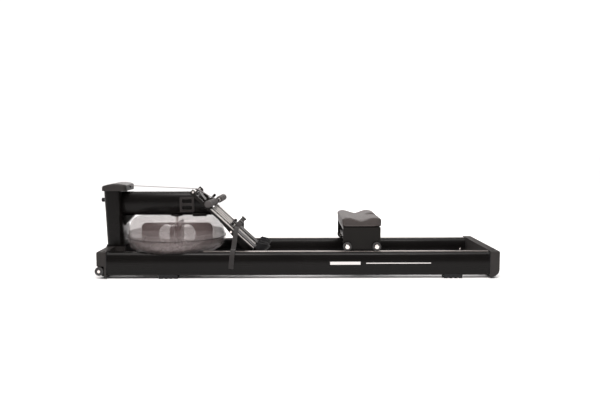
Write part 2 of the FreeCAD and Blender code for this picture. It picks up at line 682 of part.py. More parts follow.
def make_recoil_spring():
    """A flat spiral of half circles, whose radius grows by half a pitch at each one."""
    turns = []
    radius = SPRING_INNER
    centre = 0.0
    direction = 1
    for _ in range(2 * SPRING_TURNS):
        half = ring(radius + SPRING_THICK, radius, Vector(TANK_X + centre, 0, SPRING_BOTTOM), Z_AXIS,
                    SPRING_HEIGHT)
        y0, y1 = (0, 100) if direction > 0 else (-100, 0)
        turns.append(half.common(box(TANK_X - 100, TANK_X + 100, y0, y1, 0, 500)))
        centre -= direction * SPRING_PITCH / 2
        radius += SPRING_PITCH / 2
        direction = -direction
    spring = turns[0].fuse(turns[1:]).removeSplitter()
    save("recoil_spring", spring)
    base = Vector(TANK_X, 0, SPRING_BOTTOM - 4)
    housing = rod(SPOOL_FLANGE + 2, base, Z_AXIS, BOOM_TOP - RAIL_WALL - SPRING_BOTTOM + 4)
    housing = housing.cut(rod(SPOOL_FLANGE, base, Z_AXIS, SPRING_HEIGHT + 10))
    housing = housing.common(boom_solid(RAIL_WALL))
    save("recoil_spring_housing", housing)


# ---- Post and boom ----
def post_solid(inset=0.0):
    post = rounded_post(POST_X - POST_DEPTH / 2 + inset, POST_X + POST_DEPTH / 2 - inset,
                        POST_WIDTH - 2 * inset, POST_BOTTOM - 40, POST_TOP + 60, POST_CORNER - inset)
    post.rotate(Vector(POST_X, 0, POST_BOTTOM), Y_AXIS, -POST_LEAN)
    return post


def boom_solid(inset=0.0):
    """The boom's bar, with its far end cut to the slope of the footboard."""
    start = POST_X
    length = BOOM_END_BOTTOM - start + 10
    bar = barrel(BOOM_WIDTH, BOOM_HEIGHT, inset, length, start, 0.0, BOOM_BOTTOM + BOOM_HEIGHT / 2)
    return bar.cut(beyond_boom_end(0.0))


def beyond_boom_end(shift):
    """Everything past the boom's sloping end, or past a plane that much inside it."""
    low = Vector(BOOM_END_BOTTOM, 0, BOOM_BOTTOM)
    high = Vector(BOOM_END_TOP, 0, BOOM_TOP)
    along = (high - low).normalize()
    inward = Vector(-along.z, 0, along.x) * shift
    a = low - along * 60 + inward
    b = high + along * 60 + inward
    far = Vector(BOOM_END_BOTTOM + 300, 0, 0)
    wedge = [Vector(a.x, -100, a.z), Vector(b.x, -100, b.z), Vector(far.x, -100, b.z),
             Vector(far.x, -100, a.z)]
    return polygon(wedge, Vector(0, 200, 0))


def gusset():
    """A web that fills the corner between the post and the underside of the boom."""
    rear = POST_X + POST_DEPTH / 2
    lean = math.tan(math.radians(POST_LEAN))
    corner = rear - (BOOM_BOTTOM - POST_BOTTOM) * lean
    outline = [(rear - POST_DEPTH / 2, BOOM_BOTTOM), (corner + GUSSET_LENGTH, BOOM_BOTTOM),
               (corner, BOOM_BOTTOM - GUSSET_HEIGHT), (rear - POST_DEPTH / 2, BOOM_BOTTOM - GUSSET_HEIGHT)]
    web = polygon([Vector(x, -GUSSET_WIDTH / 2, z) for x, z in outline], Vector(0, GUSSET_WIDTH, 0))
    return web.cut(post_solid(POST_WALL / 2))


def make_post():
    top_cut = box(-1300, -700, -200, 200, POST_BOTTOM, POST_TOP)
    post = post_solid().cut(post_solid(POST_WALL)).common(top_cut)
    window = box(POST_X, POST_X + POST_DEPTH, -BOOM_WIDTH / 2 + 12, BOOM_WIDTH / 2 - 12,
                 STRAP_LOW - 6, STRAP_LOW + STRAP_WIDTH + 6)
    plate = rounded_post(FRONT_FACE - CASTING_DEPTH, POST_X + POST_DEPTH / 2 + FLANGE_BORDER,
                         POST_WIDTH + FLANGE_BORDER, CASTING_TOP, POST_BOTTOM, FLANGE_BORDER)
    save("front_post", post.cut(window).fuse([plate, gusset()]))
    bumper = rod(BUMPER_RADIUS, Vector(BUMPER_FRONT, 0, BUMPER_Z), X_AXIS, 60)
    face = [e for e in bumper.Edges if e.BoundBox.XMax < BUMPER_FRONT + 1]
    save("post_bumper", bumper.makeFillet(3.0, face).cut(post_solid()))


def cap_solid(inset):
    """The cap's outside, or the same shape that much smaller: it rises to a crown and falls again."""
    top = POST_TOP + CAP_HEIGHT - inset
    front, rear = CAP_FRONT + inset, CAP_REAR - inset
    half = CAP_WIDTH / 2 - inset
    shoulder = top - CAP_SHOULDER
    bottom = POST_TOP - (1 if inset else 0)
    block = rounded_post(front, rear, 2 * half, bottom, top, POST_CORNER - inset)
    start, end = Vector(front - 1, -half - 1, shoulder), Vector(rear + 1, -half - 1, top - CAP_SHOULDER / 2)
    crown = Part.Arc(start, Vector(CAP_CROWN, -half - 1, top), end).toShape()
    low_rear, low_front = Vector(rear + 1, -half - 1, bottom - 1), Vector(front - 1, -half - 1, bottom - 1)
    edges = [crown, Part.LineSegment(end, low_rear).toShape(),
             Part.LineSegment(low_rear, low_front).toShape(), Part.LineSegment(low_front, start).toShape()]
    domed = block.common(Part.Face(Part.Wire(edges)).extrude(Vector(0, 2 * half + 2, 0)))
    rim = [e for e in domed.Edges if e.BoundBox.ZMin > shoulder - CAP_ROUND / 2]
    return domed.makeFillet(CAP_ROUND / 2 if inset else CAP_ROUND * 0.7, rim)


def make_cap():
    cap = cap_solid(0.0).cut(cap_solid(CAP_WALL))
    slot = box(CAP_REAR - 2 * CAP_WALL, CAP_REAR + 1, -STRAP_WIDTH / 2 - 3, STRAP_WIDTH / 2 + 3,
               TOP_PULLEY_Z + STRAP_EXIT, TOP_PULLEY_Z + PULLEY_RADIUS)
    save("post_cap", cap.cut(slot))


def make_boom():
    tie = rod(TIE_RADIUS, slope_point(TIE_UPPER_U, -PLATE_Y, TIE_UPPER_N), Y_AXIS, 2 * PLATE_Y)
    outer = boom_solid()
    boom = outer.cut(boom_solid(RAIL_WALL)).cut(post_solid()).cut(tie)
    boom = boom.cut(rod(HOUSING_RADIUS, Vector(TANK_X, 0, BOOM_BOTTOM - 5), Z_AXIS, 20))
    boom = boom.cut(rod(ROLLER_RADIUS + ROLLER_ROOM, ROLLER - Y_AXIS * BOOM_WIDTH, Y_AXIS, 2 * BOOM_WIDTH))
    save("boom", boom)
    plate = boom_solid(RAIL_WALL).common(beyond_boom_end(END_PLATE))
    save("boom_end_plate", plate)
    cover = box(COVER_X0, COVER_X1, -BOOM_WIDTH / 2 - COVER_THICK, -BOOM_WIDTH / 2 + 8, COVER_Z0, COVER_Z1)
    upright = [e for e in cover.Edges if e.BoundBox.YLength > 1]
    cover = cover.makeFillet(5.0, upright).cut(outer)
    middle = (COVER_X0 + COVER_X1) / 2
    gap = (COVER_Z1 - COVER_Z0 - 2 * SLOT_HEIGHT) / 3
    for index in range(2):
        z = COVER_Z0 + gap + index * (SLOT_HEIGHT + gap)
        slot = box(middle - SLOT_LENGTH / 2, middle + SLOT_LENGTH / 2, -BOOM_WIDTH, 0, z, z + SLOT_HEIGHT)
        slot = slot.makeFillet(4.0, [e for e in slot.Edges if e.BoundBox.YLength > 1])
        cover = cover.cut(slot)
    save("boom_cover", cover)
    clamp = box(TANK_X + 95, TANK_X + 171, -BOOM_WIDTH / 2, BOOM_WIDTH / 2, TANK_TOP, BOOM_BOTTOM + 12)
    save("tank_hold_down", clamp.cut(outer))


# ---- Drive strap and pulleys ----
def tangent_angle(start, start_radius, end, end_radius):
    """The angle of the upper tangent's normal, for two pulleys in the X-Z plane."""
    line = end - start
    base = math.atan2(line.z, line.x)
    return base + math.acos((start_radius - end_radius) / line.Length)


def band_arc(centre, radius, angle_start, angle_end):
    """Webbing round a pulley, between two angles."""
    def at(distance, angle):
        return centre + Vector(distance * math.cos(angle), -STRAP_WIDTH / 2, distance * math.sin(angle))
    middle = (angle_start + angle_end) / 2
    outside = radius + STRAP_THICK
    inner_arc = Part.Arc(at(radius, angle_start), at(radius, middle), at(radius, angle_end)).toShape()
    outer_arc = Part.Arc(at(outside, angle_end), at(outside, middle), at(outside, angle_start)).toShape()
    ends = [Part.LineSegment(at(radius, angle_end), at(outside, angle_end)).toShape(),
            Part.LineSegment(at(outside, angle_start), at(radius, angle_start)).toShape()]
    wire = Part.Wire([inner_arc, ends[0], outer_arc, ends[1]])
    return Part.Face(wire).extrude(Vector(0, STRAP_WIDTH, 0))


def band_run(start, end, angle):
    """Straight webbing from start to end, with its thickness toward the angle given."""
    out = Vector(math.cos(angle), 0, math.sin(angle)) * STRAP_THICK
    side = Vector(0, -STRAP_WIDTH / 2, 0)
    corners = [start + side, end + side, end + out + side, start + out + side]
    return polygon(corners, Vector(0, STRAP_WIDTH, 0))


def on_circle(centre, radius, angle):
    return centre + Vector(radius * math.cos(angle), 0, radius * math.sin(angle))


LOW_PULLEY = Vector(PULLEY_X, 0, LOW_PULLEY_Z)
TOP_PULLEY = Vector(PULLEY_X, 0, TOP_PULLEY_Z)
ROLLER = Vector(ROLLER_X, 0, ROLLER_Z)
HANDLE = Vector(HANDLE_X, 0, HANDLE_Z)
BELT_RADIUS = PULLEY_RADIUS + STRAP_GAP
ROLLER_BELT = ROLLER_RADIUS + STRAP_GAP
TOP_ANGLE = tangent_angle(TOP_PULLEY, BELT_RADIUS, ROLLER, ROLLER_BELT)
TAIL_ANGLE = tangent_angle(ROLLER, ROLLER_BELT, HANDLE, -STRAP_THICK / 2)


def make_drive_strap():
    wound = SPOOL_RADIUS + STRAP_GAP
    pieces = [ring(wound + STRAP_THICK, wound, Vector(TANK_X, 0, STRAP_LOW), Z_AXIS, STRAP_WIDTH)]
    pieces.append(box(TWIST_START, TANK_X, -wound - STRAP_THICK, -wound, STRAP_LOW,
                      STRAP_LOW + STRAP_WIDTH))
    upright, level = [], []
    for across, along in ((-1, -1), (1, -1), (1, 1), (-1, 1)):
        dy, dz = across * STRAP_THICK / 2, along * STRAP_WIDTH / 2
        upright.append(Vector(TWIST_START, -wound - STRAP_THICK / 2 + dy, STRAP_MID + dz))
        level.append(Vector(TWIST_END, -dz, STRAP_MID + dy))
    wires = [Part.makePolygon(corners + [corners[0]]) for corners in (upright, level)]
    pieces.append(Part.makeLoft(wires, True, True))
    pieces.append(box(PULLEY_X, TWIST_END, -STRAP_WIDTH / 2, STRAP_WIDTH / 2,
                      STRAP_MID - STRAP_THICK / 2, STRAP_MID + STRAP_THICK / 2))
    pieces.append(band_arc(LOW_PULLEY, BELT_RADIUS, 1.5 * math.pi, math.pi))
    pieces.append(band_run(on_circle(LOW_PULLEY, BELT_RADIUS, math.pi),
                           on_circle(TOP_PULLEY, BELT_RADIUS, math.pi), math.pi))
    pieces.append(band_arc(TOP_PULLEY, BELT_RADIUS, math.pi, TOP_ANGLE))
    pieces.append(band_run(on_circle(TOP_PULLEY, BELT_RADIUS, TOP_ANGLE),
                           on_circle(ROLLER, ROLLER_BELT, TOP_ANGLE), TOP_ANGLE))
    pieces.append(band_arc(ROLLER, ROLLER_BELT, TOP_ANGLE, TAIL_ANGLE))
    save("drive_strap", pieces[0].fuse(pieces[1:]).removeSplitter())


def pulley(centre):
    half = STRAP_WIDTH / 2 + 1
    flange = 2.0
    wheel = rod(PULLEY_RADIUS, centre - Y_AXIS * (half + flange), Y_AXIS, 2 * (half + flange))
    for y in (-half - flange, half):
        wheel = wheel.fuse(rod(PULLEY_FLANGE, centre + Y_AXIS * y, Y_AXIS, flange))
    return wheel.cut(rod(PULLEY_AXLE + RUN_FIT, centre - Y_AXIS * 50, Y_AXIS, 100))


def make_pulleys():
    save("low_strap_pulley", pulley(LOW_PULLEY))
    save("top_strap_pulley", pulley(TOP_PULLEY))
    save("strap_roller", ring(ROLLER_RADIUS, ROLLER_AXLE + RUN_FIT,
                              ROLLER - Y_AXIS * ROLLER_LENGTH / 2, Y_AXIS, ROLLER_LENGTH))
    reach = PLATE_Y + PLATE_THICK / 2
    top_reach = CAP_WIDTH / 2 - CAP_WALL
    low_axle = rod(PULLEY_AXLE, LOW_PULLEY - Y_AXIS * POST_WIDTH, Y_AXIS, 2 * POST_WIDTH)
    save("strap_axles", low_axle.common(post_solid(POST_WALL)),
         rod(PULLEY_AXLE, TOP_PULLEY - Y_AXIS * top_reach, Y_AXIS, 2 * top_reach),
         rod(ROLLER_AXLE, ROLLER - Y_AXIS * reach, Y_AXIS, 2 * reach))


# ---- Footboard ----
def side_plate():
    outline = [(-12, 10), (12, 10), (22, 0), (DECK_START - 1, 0), (DECK_START - 1, -DECK_THICK),
               (DECK_END, -DECK_THICK), (FOOT_TUBE_U + 18, FOOT_TUBE_N + 8),
               (FOOT_TUBE_U - 12, FOOT_TUBE_N - 14), (DECK_END - 30, -PLATE_DEPTH),
               (DECK_START + 72, -BAR_DEPTH), (-12, -BAR_DEPTH)]
    y = PLATE_Y - PLATE_THICK / 2
    plate = polygon([Vector(u, y, n) for u, n in outline], Vector(0, PLATE_THICK, 0))
    plate = plate.fuse(rod(20, Vector(FOOT_TUBE_U, y, FOOT_TUBE_N), Y_AXIS, PLATE_THICK))
    holes = [(0, 0, ROLLER_AXLE), (TIE_UPPER_U, TIE_UPPER_N, TIE_RADIUS),
             (TIE_LOWER_U, TIE_LOWER_N, TIE_RADIUS), (FOOT_TUBE_U, FOOT_TUBE_N, FOOT_TUBE_RADIUS)]
    for u, n, radius in holes:
        plate = plate.cut(rod(radius, Vector(u, y - 1, n), Y_AXIS, PLATE_THICK + 2))
    return plate


def handle_rest():
    """A cradle with an upright peg behind it, on the top of a side plate."""
    y = PLATE_Y - PLATE_THICK / 2
    pad = box(REST_START, REST_END - 2, y, y + PLATE_THICK, 0, REST_HEIGHT)
    peg = box(REST_START, REST_START + REST_PEG, y, y + PLATE_THICK, 0, REST_PEG_HEIGHT)
    tops = [e for e in peg.Edges if e.BoundBox.YLength > 1 and e.BoundBox.ZMin > 1]
    return pad.fuse(peg.makeFillet(6.0, tops))


def make_footboard():
    half = PLATE_Y + PLATE_THICK / 2
    plate = side_plate().fuse(handle_rest())
    save("footboard_sides", *[on_slope(side) for side in both_sides(plate)])
    upper = rod(TIE_RADIUS, Vector(TIE_UPPER_U, -half, TIE_UPPER_N), Y_AXIS, 2 * half)
    lower = rod(TIE_RADIUS, Vector(TIE_LOWER_U, -half, TIE_LOWER_N), Y_AXIS, 2 * half)
    foot = on_slope(ring(FOOT_TUBE_RADIUS, FOOT_TUBE_RADIUS - 2.5, Vector(FOOT_TUBE_U, -RAIL_Y, FOOT_TUBE_N),
                         Y_AXIS, 2 * RAIL_Y))
    foot = foot.cut([rail_outline(RAIL_FRONT, RAIL_REAR, 0.0, end) for end in (-1, 1)])
    save("footboard_tubes", on_slope(upper), on_slope(lower), foot)
    bolts = []
    for u, n in ((TIE_LOWER_U, TIE_LOWER_N), (0, 0)):
        head = rod(BOLT_HEAD, Vector(u, half, n), Y_AXIS, BOLT_THICK)
        bolts += [on_slope(mirrored(head, side)) for _, side in SIDES]
    make_deck()
    return bolts


def make_deck():
    length = DECK_END - DECK_START
    deck = box(DECK_START, DECK_END, -DECK_HALF, DECK_HALF, -DECK_THICK, -STRIP_THICK)
    first = DECK_START + (length - (DECK_SLOTS - 1) * SLOT_PITCH) / 2
    for index in range(DECK_SLOTS):
        u = first + index * SLOT_PITCH
        for _, side in SIDES:
            slot = box(u - 4, u + 4, HEEL_Y - 14, HEEL_Y + 14, -DECK_THICK - 1, 1)
            deck = deck.cut(mirrored(slot, side))
    strips = []
    edge = DECK_HALF - STRIP_WIDTH
    starts = (-DECK_HALF, edge, -STRIP_WIDTH / 2, -HEEL_Y + 16, HEEL_Y - 16 - STRIP_WIDTH)
    for y in starts:
        strip = box(DECK_START, DECK_END, y, y + STRIP_WIDTH, -STRIP_THICK, 0)
        pitch = STRIP_WIDTH / STRIP_RIDGES
        for index in range(1, STRIP_RIDGES):
            groove_y = y + index * pitch
            strip = strip.cut(box(DECK_START, DECK_END, groove_y - 0.8, groove_y + 0.8, -1.5, 1))
        strips.append(on_slope(strip))
    save("footboard_deck", on_slope(deck))
    save("deck_strips", *strips)


# ---- Heels and foot straps ----
def heel_cup():
    """A rubber cup open toward the toes, on the low end of the heel plate."""
    radius = HEEL_WIDTH / 2
    low = HEEL_GAP + HEEL_PLATE_THICK
    centre = Vector(HEEL_CUP_U, HEEL_Y, low)
    bend = rod(radius, centre, Z_AXIS, HEEL_CUP_HEIGHT)
    block = box(HEEL_CUP_U - 18, HEEL_CUP_U, HEEL_Y - radius, HEEL_Y + radius, low, low + HEEL_CUP_HEIGHT)
    inner = radius - HEEL_CUP_WALL
    hollow = rod(inner, centre + Z_AXIS * 4, Z_AXIS, HEEL_CUP_HEIGHT)
    channel = box(HEEL_CUP_U - 100, HEEL_CUP_U, HEEL_Y - inner, HEEL_Y + inner, low + 4,
                  low + HEEL_CUP_HEIGHT + 1)
    front = box(HEEL_CUP_U - 100, HEEL_CUP_U - 18, 0, 300, low - 1, low + 200)
    cup = bend.fuse(block).cut(hollow).cut(channel).cut(front)
    slant = [Vector(HEEL_CUP_U - 60, 0, low + 12), Vector(HEEL_CUP_U + 20, 0, low + HEEL_CUP_HEIGHT + 0.5),
             Vector(HEEL_CUP_U + 20, 0, low + 120), Vector(HEEL_CUP_U - 60, 0, low + 120)]
    return cup.cut(polygon(slant, Vector(0, 300, 0)))


def make_heels():
    low = HEEL_GAP
    top = low + HEEL_PLATE_THICK
    y0, y1 = HEEL_Y - HEEL_WIDTH / 2, HEEL_Y + HEEL_WIDTH / 2
    plate = box(HEEL_PLATE_START, HEEL_PLATE_END, y0, y1, low, top)
    ends = [e for e in plate.Edges if e.BoundBox.ZLength > 1 and e.BoundBox.XMax < HEEL_PLATE_START + 1]
    plate = plate.makeFillet(18.0, ends)
    plate = plate.cut(rod(KNOB_STEM + RUN_FIT, Vector(KNOB_U, HEEL_Y, 0), Z_AXIS, 20))
    knob = rod(KNOB_RADIUS, Vector(KNOB_U, HEEL_Y, top + 0.5), Z_AXIS, 14)
    knob = knob.makeFillet(2.5, [e for e in knob.Edges if e.BoundBox.ZMin > top + 10])
    knob = knob.fuse(rod(KNOB_STEM, Vector(KNOB_U, HEEL_Y, low + 0.2), Z_AXIS, 6))
    cup = heel_cup()
    for name, side in SIDES:
        save("heel_plate_" + name, on_slope(mirrored(plate, side)))
        save("heel_lock_knob_" + name, on_slope(mirrored(knob, side)))
        save("heel_cup_" + name, on_slope(mirrored(cup, side)))


def ribbon(path, width_start, width_end, across):
    """Webbing whose thickness follows a path of points; its width runs along one axis."""
    pieces = []
    for a, b in zip(path[:-1], path[1:]):
        line = (b - a).normalize()
        out = line.cross(across) * WEB_THICK
        start = across * width_start
        corners = [a + start, b + line * 0.6 + start, b + line * 0.6 + out + start, a + out + start]
        pieces.append(polygon(corners, across * (width_end - width_start)))
    return pieces[0].fuse(pieces[1:]).removeSplitter()


def foot_strap():
    """A loop over the shoe, and a loose end that hangs over the rail."""
    loop_path = [Vector(LOOP_U, LOOP_INNER_Y, LOOP_FOOT), Vector(LOOP_U, LOOP_INNER_Y + 6, LOOP_HEIGHT * 0.62),
                 Vector(LOOP_U, LOOP_INNER_Y + 30, LOOP_HEIGHT),
                 Vector(LOOP_U, LOOP_OUTER_Y - 30, LOOP_HEIGHT),
                 Vector(LOOP_U, LOOP_OUTER_Y - 6, LOOP_HEIGHT * 0.62),
                 Vector(LOOP_U, LOOP_OUTER_Y, LOOP_FOOT)]
    loop = on_slope(ribbon(loop_path, -WEB_WIDTH / 2, WEB_WIDTH / 2, X_AXIS))
    start = slope_point(LOOP_U, LOOP_OUTER_Y - 5, LOOP_HEIGHT * 0.5)
    outside = RAIL_OUTER_Y + TAIL_CLEAR
    drop = start.z
    tail_path = [Vector(0, LOOP_OUTER_Y - 4, 0), Vector(0, RAIL_INNER_Y - 4, -40),
                 Vector(0, RAIL_Y + 8, RAIL_TOP + 22 - drop), Vector(0, RAIL_OUTER_Y - 4, RAIL_TOP + 2 - drop),
                 Vector(0, outside, RAIL_TOP - 18 - drop), Vector(0, outside, TAIL_BOTTOM - drop)]
    tail = ribbon(tail_path, -WEB_WIDTH / 2, WEB_WIDTH / 2, X_AXIS)
    tail.rotate(Vector(0, 0, 0), Y_AXIS, TAIL_LEAN)
    tail.translate(Vector(start.x, 0, drop))
    return loop.fuse(tail).removeSplitter()


def make_foot_straps():
    strap = foot_strap()
    y0 = (LOOP_INNER_Y + LOOP_OUTER_Y - BUCKLE_LENGTH) / 2
    low = LOOP_HEIGHT + WEB_THICK
    half = WEB_WIDTH / 2 + BUCKLE_MARGIN
    buckle = box(LOOP_U - half, LOOP_U + half, y0, y0 + BUCKLE_LENGTH, low, low + BUCKLE_THICK)
    buckle = buckle.makeFillet(2.5, [e for e in buckle.Edges if e.BoundBox.ZMin > low + 1])
    save("foot_straps", *both_sides(strap))
    save("strap_buckles", *[on_slope(side) for side in both_sides(buckle)])


# ---- Handle ----
def make_handle():
    half = HANDLE_LENGTH / 2
    middle = rod(HANDLE_BAR, HANDLE - Y_AXIS * GRIP_START, Y_AXIS, 2 * GRIP_START)
    core = rod(HANDLE_BAR, HANDLE + Y_AXIS * GRIP_START, Y_AXIS, half - GRIP_START - 10)
    grip_length = half - GRIP_START - GRIP_OFFSET
    grip = rod(GRIP_RADIUS, HANDLE + Y_AXIS * (GRIP_START + GRIP_OFFSET), Y_AXIS, grip_length)
    ends = [e for e in grip.Edges if e.BoundBox.YLength < 1e-3]
    grip = grip.makeFillet(GRIP_ROUND, ends).cut(core)
    bend_at = HANDLE + Y_AXIS * GRIP_START
    for shape in (core, grip):
        shape.rotate(bend_at, Z_AXIS, -GRIP_BEND)
    knuckle = Part.makeSphere(HANDLE_BAR, bend_at)
    bar = middle.fuse(both_sides(core.fuse(knuckle)))
    grips = both_sides(grip)
    for shape in [bar] + grips:
        shape.rotate(HANDLE, Z_AXIS, -HANDLE_YAW)
    save("handle_bar", bar)
    save("handle_grips", *grips)
    make_clip(bar)


def make_clip(bar):
    direction = Vector(math.sin(TAIL_ANGLE), 0, -math.cos(TAIL_ANGLE))
    clip = box(-CLIP_LENGTH, 0, -CLIP_WIDTH / 2, CLIP_WIDTH / 2, -CLIP_THICK / 2, CLIP_THICK / 2)
    clip = clip.fuse(rod(HANDLE_BAR + CLIP_WALL, Vector(0, -CLIP_WIDTH / 2, 0), Y_AXIS, CLIP_WIDTH))
    clip.rotate(Vector(0, 0, 0), Y_AXIS, -math.degrees(math.atan2(direction.z, direction.x)))
    clip.translate(HANDLE)
    save("handle_clip", clip.cut(bar))
    start = on_circle(ROLLER, ROLLER_BELT, TAIL_ANGLE) + direction * 1.0
    end = HANDLE - direction * CLIP_LENGTH
    out = Vector(math.cos(TAIL_ANGLE), 0, math.sin(TAIL_ANGLE))
    end = end + out * (start - end).dot(out)
    save("strap_tail", band_run(start, end, TAIL_ANGLE))


# ---- Seat ----
def seat_pad():
    """A pad that is flat in front, dips, and rises to two lobes with a valley between them."""
    rear = SEAT_FRONT + SEAT_LENGTH
    y = -SEAT_WIDTH / 2
    heights = [(0.0, -9.0), (0.05, -3.0), (0.24, -2.0), (0.5, -SEAT_DIP), (0.72, -1.0), (0.88, 0.0),
               (0.96, -4.0), (1.0, -12.0)]
    knots = [Vector(SEAT_FRONT + SEAT_LENGTH * share, y, SEAT_TOP + drop) for share, drop in heights]
    curve = Part.BSplineCurve()
    curve.interpolate(knots)
    low_front, low_rear = Vector(SEAT_FRONT + SEAT_SLANT, y, SEAT_BOTTOM), Vector(rear - 4, y, SEAT_BOTTOM)
    edges = [curve.toShape(), Part.LineSegment(knots[-1], low_rear).toShape(),
             Part.LineSegment(low_rear, low_front).toShape(),
             Part.LineSegment(low_front, knots[0]).toShape()]
    slab = Part.Face(Part.Wire(edges)).extrude(Vector(0, SEAT_WIDTH, 0))
    start = rear - SEAT_CHAMFER
    corners = [(SEAT_FRONT, y), (start, y), (rear, y + SEAT_CHAMFER), (rear, -y - SEAT_CHAMFER),
               (start, -y), (SEAT_FRONT, -y)]
    plan = polygon([Vector(a, b, SEAT_BOTTOM - 1) for a, b in corners], Z_AXIS * 100)
    upright = [e for e in plan.Edges if e.BoundBox.ZLength > 1]
    pad = slab.common(plan.makeFillet(SEAT_CORNER, upright))
    valley = rod(VALLEY_RADIUS, Vector(0, 0, 0), X_AXIS, 2 * VALLEY_LENGTH)
    valley.rotate(Vector(0, 0, 0), Y_AXIS, math.degrees(math.atan2(VALLEY_DEPTH, VALLEY_LENGTH)))
    valley.translate(Vector(rear - VALLEY_LENGTH, 0, SEAT_TOP + VALLEY_RADIUS - 1))
    return pad.cut(valley)


def carriage_plate():
    y0 = PLATE_OUTER - CARRIAGE_PLATE
    slope = [(CARRIAGE_FRONT, SEAT_BOTTOM), (CARRIAGE_FRONT, CARRIAGE_BOTTOM + CARRIAGE_CUT),
             (CARRIAGE_FRONT + CARRIAGE_CUT * 0.5, CARRIAGE_BOTTOM), (CARRIAGE_REAR, CARRIAGE_BOTTOM),
             (CARRIAGE_REAR, SEAT_BOTTOM)]
    plate = polygon([Vector(x, y0, z) for x, z in slope], Vector(0, CARRIAGE_PLATE, 0))
    for x in wheel_places():
        plate = plate.cut(rod(AXLE_RADIUS, Vector(x, y0 - 1, WHEEL_Z), Y_AXIS, CARRIAGE_PLATE + 2))
    return plate


def wheel_places():
    return (CARRIAGE_FRONT + WHEEL_INSET, CARRIAGE_REAR - WHEEL_INSET)


def make_seat():
    pad = seat_pad()
    save("seat_pad", pad)
    inner = PLATE_OUTER - CARRIAGE_PLATE
    base = box(CARRIAGE_FRONT, CARRIAGE_REAR, -inner, inner, SEAT_BOTTOM - BASE_THICK, SEAT_BOTTOM)
    save("seat_base", base)
    save("carriage_plates", *both_sides(carriage_plate()))
    tubes = []
    for x in wheel_places():
        tube = ring(CARRIAGE_TUBE, CARRIAGE_TUBE - 2.5, Vector(x, -inner, WHEEL_Z + 26), Y_AXIS, 2 * inner)
        tubes.append(tube)
    save("carriage_cross_tubes", *tubes)
    make_seat_wheels()


def make_seat_wheels():
    bolts = []
    start = RAIL_Y - WHEEL_WIDTH / 2
    inner = PLATE_OUTER - CARRIAGE_PLATE - 5
    for place, x in zip(("front", "rear"), wheel_places()):
        wheel = ring(WHEEL_RADIUS, AXLE_RADIUS + RUN_FIT, Vector(x, start, WHEEL_Z), Y_AXIS, WHEEL_WIDTH)
        rim = [e for e in wheel.Edges if abs(e.BoundBox.XLength - 2 * WHEEL_RADIUS) < 1e-3]
        save("seat_wheels_" + place, *both_sides(wheel.makeFillet(2.0, rim)))
        shank = rod(AXLE_RADIUS, Vector(x, inner, WHEEL_Z), Y_AXIS, start + WHEEL_WIDTH + 0.5 - inner)
        head = rod(AXLE_HEAD, Vector(x, start + WHEEL_WIDTH + 0.5, WHEEL_Z), Y_AXIS, 5)
        head = head.makeFillet(2.0, [e for e in head.Edges if e.BoundBox.YMin > start + WHEEL_WIDTH + 5])
        washer = rod(AXLE_HEAD - 2, Vector(x, PLATE_OUTER, WHEEL_Z), Y_AXIS, WASHER - 0.3)
        nut = rod(AXLE_HEAD - 2, Vector(x, inner, WHEEL_Z), Y_AXIS, 5)
        bolts += both_sides(shank.fuse([head, washer, nut]))
    save("seat_axle_bolts", *bolts)


os.makedirs("parts", exist_ok=True)
make_rails()
make_castings()
make_feet()
make_tank_supports()
make_tank()
make_bearings()
make_paddle()
make_spool()
make_recoil_spring()
make_post()
make_cap()
make_boom()
make_drive_strap()
make_pulleys()
save("frame_bolts", *make_transport_wheels(), *make_rail_bolts(), *make_footboard())
make_heels()
make_foot_straps()
make_handle()
make_seat()
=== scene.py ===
"""Rowing machine with a clear water tank: the visible pieces, their finishes, and a plain studio."""
import json
import math

import bmesh
import bpy
from bpy.props import FloatProperty, FloatVectorProperty, IntProperty, PointerProperty
from mathutils import Matrix, Vector


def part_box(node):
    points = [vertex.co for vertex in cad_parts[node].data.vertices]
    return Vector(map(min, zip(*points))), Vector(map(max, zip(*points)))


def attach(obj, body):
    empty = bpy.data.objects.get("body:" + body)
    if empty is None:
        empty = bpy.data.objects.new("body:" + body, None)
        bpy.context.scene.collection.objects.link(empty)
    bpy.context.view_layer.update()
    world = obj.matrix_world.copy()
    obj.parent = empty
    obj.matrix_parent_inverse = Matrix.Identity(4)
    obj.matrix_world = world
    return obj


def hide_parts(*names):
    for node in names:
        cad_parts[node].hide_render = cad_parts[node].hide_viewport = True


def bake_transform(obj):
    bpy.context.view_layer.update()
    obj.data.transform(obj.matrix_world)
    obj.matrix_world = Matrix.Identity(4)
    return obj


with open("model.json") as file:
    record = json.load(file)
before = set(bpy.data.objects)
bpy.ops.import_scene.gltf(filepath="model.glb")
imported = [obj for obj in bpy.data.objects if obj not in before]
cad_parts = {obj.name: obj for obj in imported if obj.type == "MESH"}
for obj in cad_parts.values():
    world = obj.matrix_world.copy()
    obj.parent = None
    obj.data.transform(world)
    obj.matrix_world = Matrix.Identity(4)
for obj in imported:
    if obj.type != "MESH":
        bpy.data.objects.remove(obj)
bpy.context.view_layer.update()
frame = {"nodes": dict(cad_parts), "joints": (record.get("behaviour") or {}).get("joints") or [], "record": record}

bl_info = {
    "name": "Water Rowing Machine",
    "version": (1, 0, 0),
    "blender": (4, 5, 0),
    "location": "View3D > Sidebar > Rower",
    "description": "Builds a rowing machine with a clear tank on its packed frame",
    "category": "Add Mesh",
}

JOINTS = {joint["name"]: joint for joint in frame["joints"]}
BODIES = frame["record"]["behaviour"]["bodies"]
BODY_OF_NODE = {node: body for body, nodes in BODIES.items() for node in nodes}
SLOT_OF_NODE = {part["node"]: part["material_slot"] for part in frame["record"]["subparts"]}
UP = Vector((0, 0, 1))


# ---- Shader maths ----

